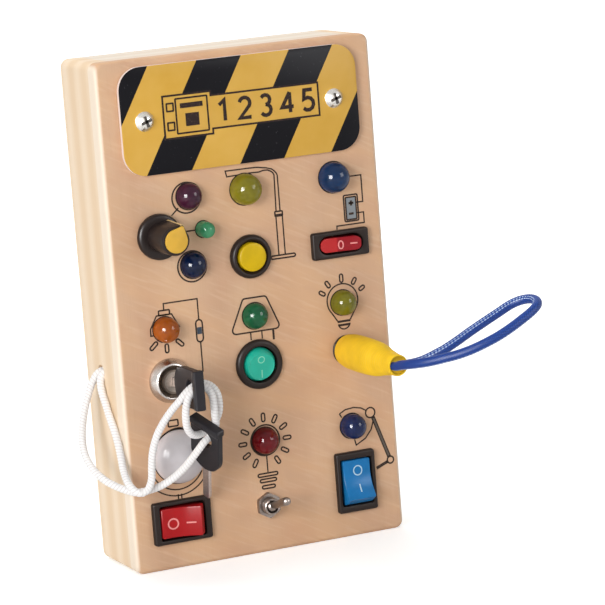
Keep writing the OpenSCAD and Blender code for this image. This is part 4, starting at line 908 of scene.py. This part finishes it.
sleeve = bmesh.new()
steps = [0, 0.15, 0.3, 0.8] + [0.2 * i for i in range(8, 199)] + [39.8, PLUG_LENGTH]
neck = PLUG_STAND + PLUG_LENGTH
turned(sleeve, [(0, PLUG_STAND)] + [(plug_radius(h), PLUG_STAND + h) for h in steps]
       + [(3.15, neck), (3, neck - 0.2), (3, neck - 1.2), (0, neck - 1.2)], 72)
piece("plug_sleeve", sleeve, on_panel(*JACK), "plug", YELLOW_RUBBER, "plug_body")
pin = bmesh.new()
turned(pin, [(0, -12.9), (0.6, -12.9), (1.75, -10.9), (1.35, -9.7), (1.75, -8.9), (1.75, -5), (1.6, -4.9),
             (1.6, -4.5), (1.75, -4.4), (1.75, 7.1), (0, 7.1)], 48)
piece("plug_pin_steel", pin, on_panel(*JACK), "plug", NICKEL, "plug_pin")


def smooth_route(points):
    """A smooth line through points given in millimetres, in six steps from each to the next."""
    steps = 6
    pts = [Vector(p) for p in points]
    pts = [2 * pts[0] - pts[1]] + pts + [2 * pts[-1] - pts[-2]]
    route = []
    for a, b, c, d in zip(pts, pts[1:], pts[2:], pts[3:]):
        for i in range(steps):
            t = i / steps
            route.append(0.5 * (2 * b + (c - a) * t + (2 * a - 5 * b + 4 * c - d) * t * t
                                + (3 * b - a - 3 * c + d) * t ** 3))
    return route + [pts[-2]]


CORD_STEP = 0.3         # from one ring of a cord's mesh to the next


def even_steps(route):
    """Points at equal steps along a route, and its length."""
    lengths = [0]
    for a, b in zip(route, route[1:]):
        lengths.append(lengths[-1] + (b - a).length)
    count = ceil(lengths[-1] / CORD_STEP)
    points, at = [], 0
    for k in range(count + 1):
        s = lengths[-1] * k / count
        while at < len(route) - 2 and lengths[at + 1] < s:
            at += 1
        share = (s - lengths[at]) / (lengths[at + 1] - lengths[at])
        points.append(route[at].lerp(route[at + 1], share))
    return points, lengths[-1]


MAP_MM = 10             # a cord's map repeats along it after this length
GRIP, EASE = 7, 3       # a mouth holds a cord over this length, and the cord is free so much further on


def braided(points, diameter, pitch, strands, depth, mouth=0.0, crossed=True, sides=24):
    """A cord along a smooth route, its plaits raised, and pinched at its ends where it fills a mouth."""
    line_points, length = even_steps(smooth_route(points))
    count = len(line_points) - 1
    bm = bmesh.new()
    uv = bm.loops.layers.uv.new("UVMap")
    side = Vector((0, 0, 1)).cross(line_points[1] - line_points[0]).normalized()
    rows = []
    for k, p in enumerate(line_points):
        way = (line_points[min(k + 1, count)] - line_points[max(k - 1, 0)]).normalized()
        side = (side - way * side.dot(way)).normalized()
        up = way.cross(side)
        s = length * k / count
        half = diameter / 2
        if mouth:
            free = min(1, max(0, (min(s, length - s) - GRIP) / EASE))
            half = mouth / 2 + (half - mouth / 2) * free
        row = []
        for i in range(sides):
            a = 2 * pi * i / sides
            one = cos(strands * a / 2 + pi * s / pitch)
            two = cos(strands * a / 2 - pi * s / pitch) if crossed else 1
            r = half - depth * (1 - abs(one * two))
            row.append(bm.verts.new(p + side * r * cos(a) + up * r * sin(a)))
        rows.append(row)
    for k, (low, high) in enumerate(zip(rows, rows[1:])):
        for i in range(sides):
            j = (i + 1) % sides
            face = bm.faces.new((low[i], low[j], high[j], high[i]))
            for loop, (u, v) in zip(face.loops, ((i, k), (i + 1, k), (i + 1, k + 1), (i, k + 1))):
                loop[uv].uv = (u / sides, v * length / count / MAP_MM)
    bm.faces.new(reversed(rows[0]))
    bm.faces.new(rows[-1])
    return bm, [list(p * MM) for p in line_points], length * MM


def plaits(mat, pitch, strands, signs):
    """How high the plaits of a cord stand, from 0 between them to 1, by its map."""
    uv = add(mat, "SeparateXYZ", {0: add(mat, "TexCoord").outputs["UV"]})
    crossing = []
    for sign in signs:
        turn = add(mat, "Math", {0: uv.outputs["X"], 1: pi * strands}, operation="MULTIPLY")
        run = add(mat, "Math", {0: uv.outputs["Y"], 1: sign * MAP_MM * pi / pitch}, operation="MULTIPLY")
        both = add(mat, "Math", {0: turn, 1: run}, operation="ADD")
        crossing.append(add(mat, "Math", {0: both}, operation="COSINE"))
    product = crossing[0]
    if len(crossing) > 1:
        product = add(mat, "Math", {0: crossing[0], 1: crossing[1]}, operation="MULTIPLY")
    height = add(mat, "Math", {0: product}, operation="ABSOLUTE")
    return uv, height


BLUE_D, BLUE_PITCH, BLUE_STRANDS = 3.3, 0.9, 14
DASH_MM = 1.25          # from one dash of a tracer yarn to the next


def nylon_braid():
    """Blue nylon braid over elastic: painted shade, darker, between the plaits, with four dashed white tracer
    yarns.
    """
    mat, shader = finish("blue_nylon_braid", {"Roughness": 0.4, "Specular IOR Level": 0.25})
    uv, height = plaits(mat, BLUE_PITCH, BLUE_STRANDS, (1, -1))
    # Painted shade: the blue is darker down between the plaits
    base = add(mat, "ValToRGB", {"Fac": height}, [(0.1, "#0A2560"), (0.7, "#1E4FAE")])
    halves = add(mat, "Math", {0: uv.outputs["X"], 1: 2}, operation="MULTIPLY")
    across = add(mat, "Math", {0: halves}, operation="FRACT")
    lane = across
    for middle in (0.86, 0.075):        # folds the map on a pair of yarns, then on one
        lane = add(mat, "Math", {0: lane, 1: middle}, operation="SUBTRACT")
        lane = add(mat, "Math", {0: lane}, operation="ABSOLUTE")
    lane = add(mat, "Math", {0: lane, 1: 0.035}, operation="LESS_THAN")
    run = add(mat, "Math", {0: uv.outputs["Y"], 1: MAP_MM / DASH_MM, 2: across}, operation="MULTIPLY_ADD")
    dash = add(mat, "Math", {0: run}, operation="FRACT")
    dash = add(mat, "Math", {0: dash, 1: 0.6}, operation="LESS_THAN")
    tracer = add(mat, "Math", {0: lane, 1: dash}, operation="MULTIPLY")
    colour = add(mat, "Mix", {0: tracer, 6: base, 7: "#B9D0F6"}, data_type="RGBA")
    relief = add(mat, "Bump", {"Height": height, "Strength": 0.4, "Distance": 0.0001})
    connect(mat, shader, {"Base Color": colour, "Normal": relief})
    return mat


BLUE_LOOP = [
    (35.2, -50.6, 66.7), (35.2, -57.3, 66.7), (36, -59.5, 67.2), (37.1, -61.8, 67.7), (39, -63.8, 68.4),
    (41.4, -65.2, 69.4), (44, -66.2, 70.6), (46.7, -67, 71.8), (51, -67.8, 74), (55.6, -68.2, 76.4),
    (61.7, -68.5, 79.3), (66.7, -68.8, 81.6), (71.1, -69.2, 83.7), (74, -70.8, 85), (75.9, -73.5, 85.7),
    (76.6, -76.8, 85.8), (75.9, -80.2, 85.4), (74, -82.9, 84.6), (71.1, -84.5, 83.3), (67, -85.1, 81.3),
    (62.4, -85.4, 79.1), (57.7, -85.2, 77), (53.1, -84.2, 75.1), (48.7, -82.4, 73.3), (44.6, -80, 71.9),
    (41.2, -77.6, 71), (38.7, -75.2, 70.2), (36.3, -72.4, 69.5), (34.5, -69.2, 68.9), (33.2, -65.6, 68.3),
    (32.7, -61.6, 67.6), (32.2, -57.3, 66.7), (32.2, -50.6, 66.7)]
loop_mesh, loop_path, loop_length = braided(BLUE_LOOP, BLUE_D, BLUE_PITCH, BLUE_STRANDS, 0.05, 2.9, sides=28)
blue_loop = piece("blue_pull_loop", loop_mesh, Matrix.Scale(MM, 4), "plug", nylon_braid(),
                  "blue_cord", 180)

# ---- Toggle switch ----
# A miniature toggle: a dull nickelled bushing with an M6 thread and a hexagon nut, and
# a round lever of the same finish that swings on a ball in the bushing.

TOGGLE = (-0.8, 16.8)
bushing = bmesh.new()
loft(bushing, [rounded(8 - i, 13 - i, 0.5, h, 3) for i, h in ((0.4, -15), (0, -14.8), (0, -6.2), (0.4, -6))])
THREAD_R, THREAD_DEPTH, THREAD_PITCH = 3, 0.22, 0.75
thread = [(THREAD_R - (THREAD_DEPTH if i % 2 else 0), THREAD_PITCH / 2 * i - 6) for i in range(28)]
turned(bushing, [(0, -6)] + thread + [(2.9, 4.4), (2.7, 4.6), (2.35, 4.6), (2.2, 4.4), (2.2, 0), (0, 0)], 48)
DULL_NICKEL = plated_metal("dull_nickel", "#8F857F", 0.3)
piece("toggle_bushing", bushing, on_panel(*TOGGLE), "case", DULL_NICKEL, "toggle_housing")
nut = bmesh.new()
across_flats, sides = 8, 48
corner = across_flats / cos(pi / 6) / 2
hexagon = []
for cut, h in ((0.25, 0), (0, 0.25), (0, 1.45), (0.3, 1.8)):
    ring_points = []
    for i in range(sides):
        a = 2 * pi * i / sides
        reach = min(across_flats / 2 / cos((a + pi / 6) % (pi / 3) - pi / 6), corner - cut)
        ring_points.append((reach * cos(a), reach * sin(a), h))
    hexagon.append(ring_points)
bore = [[(x, y, h) for x, y in circle(0, 0, 3.02, sides)] for h in (1.8, 0)]
loft(nut, hexagon + bore, ring_shaped=True)
piece("toggle_hex_nut", nut, on_panel(*TOGGLE), "case", DULL_NICKEL, "toggle_nut")
lever = bmesh.new()
turned(lever, [(0, -3.6), (0.7, -3.6), (0.8, -3.4)] + arc((0, 0), 2.1, -65, 60, 10)
       + [(1.1, 2.4), (1.3, 4), (1.35, 4.5), (1.38, 10), (1.5, 11), (1.5, 14.3)]
       + arc((0, 14.3), 1.5, 10, 90, 6), 48)
piece("toggle_lever_steel", lever,
      on_panel(*TOGGLE) @ Matrix.Translation((0, 0, 3)) @ Matrix.Rotation(radians(-17), 4, "X"),
      "toggle", DULL_NICKEL, "toggle_lever")
clad("rear_nuts", NICKEL)

# ---- Batteries, door and wiring ----
# Two AAA cells in a black holder behind a cream door in the back, held by one screw,
# with tinned contacts. Red wires join each lamp to the switch that lights it.

CREAM_ABS = moulded_plastic("cream_abs", "#E9E2D0", 0.45)
GREEN_JACKET = moulded_plastic("cell_jacket", "#2E5A3C", 0.3, gloss=0.5)
RED_PVC = moulded_plastic("red_pvc", "#A8231E", 0.4)
for node, mat in (("battery_door", CREAM_ABS), ("battery_door_screw", STEEL), ("back_screws", STEEL),
                  ("battery_holder", BLACK_ABS), ("battery_contacts", STEEL), ("cells", GREEN_JACKET),
                  ("wires", RED_PVC)):
    clad(node, mat)

# ---- Key cord ----
# A white braided cotton cord, knotted inside the case. It leaves by the hole in the left rail,
# hangs down, winds twice through the heads of both keys, and runs back to the hole.

CORD_D, COTTON_PITCH, COTTON_STRANDS = 2.6, 1.1, 2


def cotton_braid():
    """White cotton cord: painted shade, pale grey, between its slanting ridges, with a soft nap."""
    mat, shader = finish("white_cotton_cord", {"Roughness": 0.85, "Specular IOR Level": 0.2,
                                               "Sheen Weight": 0.15, "Sheen Roughness": 0.5})
    uv, height = plaits(mat, COTTON_PITCH, COTTON_STRANDS, (1,))
    # Painted shade: the cord is greyer down between its ridges
    base = add(mat, "ValToRGB", {"Fac": height}, [(0.05, "#DEDADA"), (0.6, "#F6F5F5")])
    fibre = add(mat, "TexNoise", {"Vector": millimetres(mat), "Scale": 1 / 0.25, "Detail": 3})
    relief = add(mat, "Bump", {"Height": fibre, "Strength": 0.2, "Distance": 0.0001})
    connect(mat, shader, {"Base Color": base, "Normal": relief})
    return mat


WHITE_COTTON = cotton_braid()
FAR_BACK = [
    (-44.6, 3.5, 69.2), (-48, 3.6, 69.2), (-51.4, 3.6, 68.6), (-54, 3.4, 65.8), (-56.4, 2.8, 61.3),
    (-59.2, 1, 55.3), (-61.6, -2, 48.9), (-62.9, -6.5, 43.3), (-62.2, -12, 38.4), (-59.8, -16.6, 35),
    (-56, -19.8, 32.4), (-52.15, -21.76, 30.71), (-51.5, -22, 30.6)]
FAR_FRONT = [
    (-44.6, 1.1, 69.2), (-48, 1, 69.2), (-50.8, 0.9, 68.6), (-52.4, 0.3, 65.8), (-52.7, -1.2, 62.2),
    (-52.6, -3.6, 58.4), (-52.6, -6.4, 54.4), (-52.6, -9.6, 50.4), (-52.7, -12.4, 46.2), (-53, -15, 41.8),
    (-53.6, -18, 37.6), (-53.8, -22, 34.1), (-52.9, -24.8, 31.9), (-51.64, -25.72, 30.99), (-51, -26, 31)]
WRAP = [
    (-51, -26, 31), (-50.36, -26.28, 31.01), (-48.6, -26.7, 32), (-47.2, -27, 35.2), (-46.8, -27.2, 39.8),
    (-46.3, -27.8, 44.6), (-44.9, -28.8, 49.7), (-42.6, -30.3, 54.5), (-39.8, -32.3, 58.9),
    (-37.4, -34.2, 62), (-35, -35, 64.7), (-32.2, -35.1, 66.4), (-29.2, -35, 66.9), (-26.4, -34.9, 65.8),
    (-24.2, -34.8, 63.2), (-23.4, -34.5, 59.6), (-23.5, -33.8, 56), (-24.5, -32.7, 53.1),
    (-26.4, -31.8, 51), (-28.9, -32.1, 49.5), (-31.6, -33.2, 49.2), (-34.4, -34.6, 50.2),
    (-36.3, -36, 52.9), (-36.9, -37, 56.6), (-36.6, -37.5, 60.4), (-35.2, -37.6, 63.8),
    (-33.2, -37.6, 65.8), (-30.6, -37.5, 66.4), (-28.2, -37.5, 65), (-26.8, -37.4, 62.2),
    (-26.4, -37.1, 58.8), (-26.2, -36.6, 55.6), (-25.6, -35.6, 52.8), (-25.9, -34.4, 50.2),
    (-27.8, -33.9, 47.9), (-30.1, -34.2, 46.4), (-31.9, -33.4, 44.1), (-33.6, -31.4, 41.2),
    (-35.8, -29.2, 37.9), (-38.7, -27, 34.8), (-42.6, -24.9, 32.2), (-46.8, -23.2, 30.8),
    (-50.85, -22.24, 30.49), (-51.5, -22, 30.6)]

# Both strands end in one knot behind the rail, a trefoil
KNOT, KNOT_R = (-43.2, 2.3, 68.7), 0.6
trefoil = []
for t in (2 * pi * i / 48 for i in range(49)):
    way = (-sin(3 * t), cos(t) - 2 * cos(2 * t), sin(t) + 2 * sin(2 * t))
    trefoil.append([KNOT_R * w + k for w, k in zip(way, KNOT)])
knot_mesh = braided(trefoil, 1.9, COTTON_PITCH, COTTON_STRANDS, 0.08, crossed=False)[0]
piece("key_cord_knot", knot_mesh, Matrix.Scale(MM, 4), "case", WHITE_COTTON,
      "key_cord_hanging", 180)
# Each stretch's route, node, bodies, and the places where it begins and ends
for name, points, node, bodies, start, end in (
        ("key_cord_back_strand", FAR_BACK, "key_cord_hanging", ("case", "tether"),
         (-0.052, 0.0036, 0.067), (-0.0515, -0.022, 0.0306)),
        ("key_cord_front_strand", FAR_FRONT, "key_cord_hanging", ("case", "tether"),
         (-0.052, 0.0009, 0.067), (-0.051, -0.026, 0.031)),
        ("key_cord_winding", WRAP, "key_cord_wrap", ("tether", "key"),
         (-0.024, -0.0375, 0.05), (-0.034, -0.0375, 0.066))):
    bm, path, length = braided(points, CORD_D, COTTON_PITCH, COTTON_STRANDS, 0.1, crossed=False)
    stretch = piece(name, bm, Matrix.Scale(MM, 4), bodies[0], WHITE_COTTON, node, 180)
    stretch.parent = None               # it lies between its two bodies, so it hangs from neither
    stretch.matrix_world = Matrix.Identity(4)
    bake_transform(stretch)

# ---- Floor, light and camera ----
# A pale table top under soft light: a strong softbox at the left, a weak one at the right and
# one above. Those at the sides have a twin that only makes the highlights.


def seen_straight(mat):
    """1 for rays that see or mirror the backdrop, and 0 for the light that it sheds."""
    rays = add(mat, "LightPath")
    seen = rays.outputs["Is Camera Ray"]
    for kind in ("Is Glossy Ray", "Is Transmission Ray"):
        seen = add(mat, "Math", {0: seen, 1: rays.outputs[kind]}, operation="MAXIMUM")
    return seen


floor_mat, floor_shader = finish("pale_table", {"Roughness": 0.9, "Specular IOR Level": 0.1})
tone = add(floor_mat, "TexNoise", {"Vector": millimetres(floor_mat), "Scale": 1 / 60, "Detail": 2})
pale = add(floor_mat, "ValToRGB", {"Fac": tone}, [(0.3, "#E9E9E9"), (0.7, "#E6E6E6")])
# The floor's own light grows away from the board, so that its shadow stays and the distance is white
spot = add(floor_mat, "TexCoord").outputs["Object"]
away = add(floor_mat, "VectorMath", {0: spot}, operation="LENGTH").outputs["Value"]
far = add(floor_mat, "MapRange", {"Value": away, "From Min": 0.2, "From Max": 0.6,
                                  "To Min": 0.5, "To Max": 1.0})
glow = add(floor_mat, "Math", {0: seen_straight(floor_mat), 1: far}, operation="MULTIPLY")
connect(floor_mat, floor_shader, {"Base Color": pale, "Emission Color": "#FFFFFF", "Emission Strength": glow})
ground = bmesh.new()
bmesh.ops.create_grid(ground, x_segments=8, y_segments=8, size=12)
floor_mesh = bpy.data.meshes.new("table_top")
ground.to_mesh(floor_mesh)
ground.free()
floor_mesh.materials.append(floor_mat)
table_top = bpy.data.objects.new("table_top", floor_mesh)
bpy.context.scene.collection.objects.link(table_top)

world = bpy.data.worlds.new("studio")
bpy.context.scene.world = world
world.use_nodes = True
level = add(world, "MapRange", {"Value": seen_straight(world), "To Min": 0.3, "To Max": 1.0})
connect(world, world.node_tree.nodes["Background"], {"Color": "#FFFFFF", "Strength": level})

# The camera's place and the ways it looks and stands, and the middle of the board for the lamps
EYE = Vector((-0.43028, -1.02907, 0.26990))
AHEAD = Vector((0.3994342, 0.9019569, -0.16409168)).normalized()
UP = Vector((0.13733746, 0.11809889, 0.98345873)).normalized()
MIDDLE = Vector((0, -0.02, 0.088))


def soft_lamp(name, towards, distance, size, power, tint, only):
    """A square softbox that faces the board, only for "diffuse" light or only for "highlights"."""
    data = bpy.data.lights.new(name, "AREA")
    data.shape, data.size, data.energy, data.color = "SQUARE", size, power, tint
    obj = bpy.data.objects.new(name, data)
    obj.location = MIDDLE + Vector(towards).normalized() * distance
    obj.rotation_euler = (MIDDLE - obj.location).to_track_quat("-Z", "Y").to_euler()
    obj.visible_diffuse = only == "diffuse"
    obj.visible_glossy = only == "highlights"
    bpy.context.scene.collection.objects.link(obj)


LEFT, RIGHT = (-0.77, -0.62, 0.22), (0.633, -0.772, 0.33)
soft_lamp("softbox_left", LEFT, 1.1, 0.5, 7.2, (1, 0.98, 0.96), "diffuse")
soft_lamp("softbox_left_shine", LEFT, 1.05, 0.48, 34, (1, 1, 1), "highlights")
soft_lamp("softbox_right", RIGHT, 1.2, 0.5, 1.4, (0.97, 0.98, 1), "diffuse")
soft_lamp("softbox_right_shine", RIGHT, 1.15, 0.48, 6.5, (1, 1, 1), "highlights")
soft_lamp("softbox_above", (0, 0.3, 1), 1, 0.6, 6, (1, 0.99, 0.97), "diffuse")

lens = bpy.data.cameras.new("camera")
lens.lens, lens.sensor_width, lens.clip_start = 192.85, 36, 0.01
camera = bpy.data.objects.new("camera", lens)
right = AHEAD.cross(UP).normalized()
top_way = right.cross(AHEAD)
camera.matrix_world = Matrix(((right.x, top_way.x, -AHEAD.x, EYE.x), (right.y, top_way.y, -AHEAD.y, EYE.y),
                              (right.z, top_way.z, -AHEAD.z, EYE.z), (0, 0, 0, 1)))
bpy.context.scene.collection.objects.link(camera)
bpy.context.scene.camera = camera
bpy.context.scene.view_settings.view_transform = "Standard"
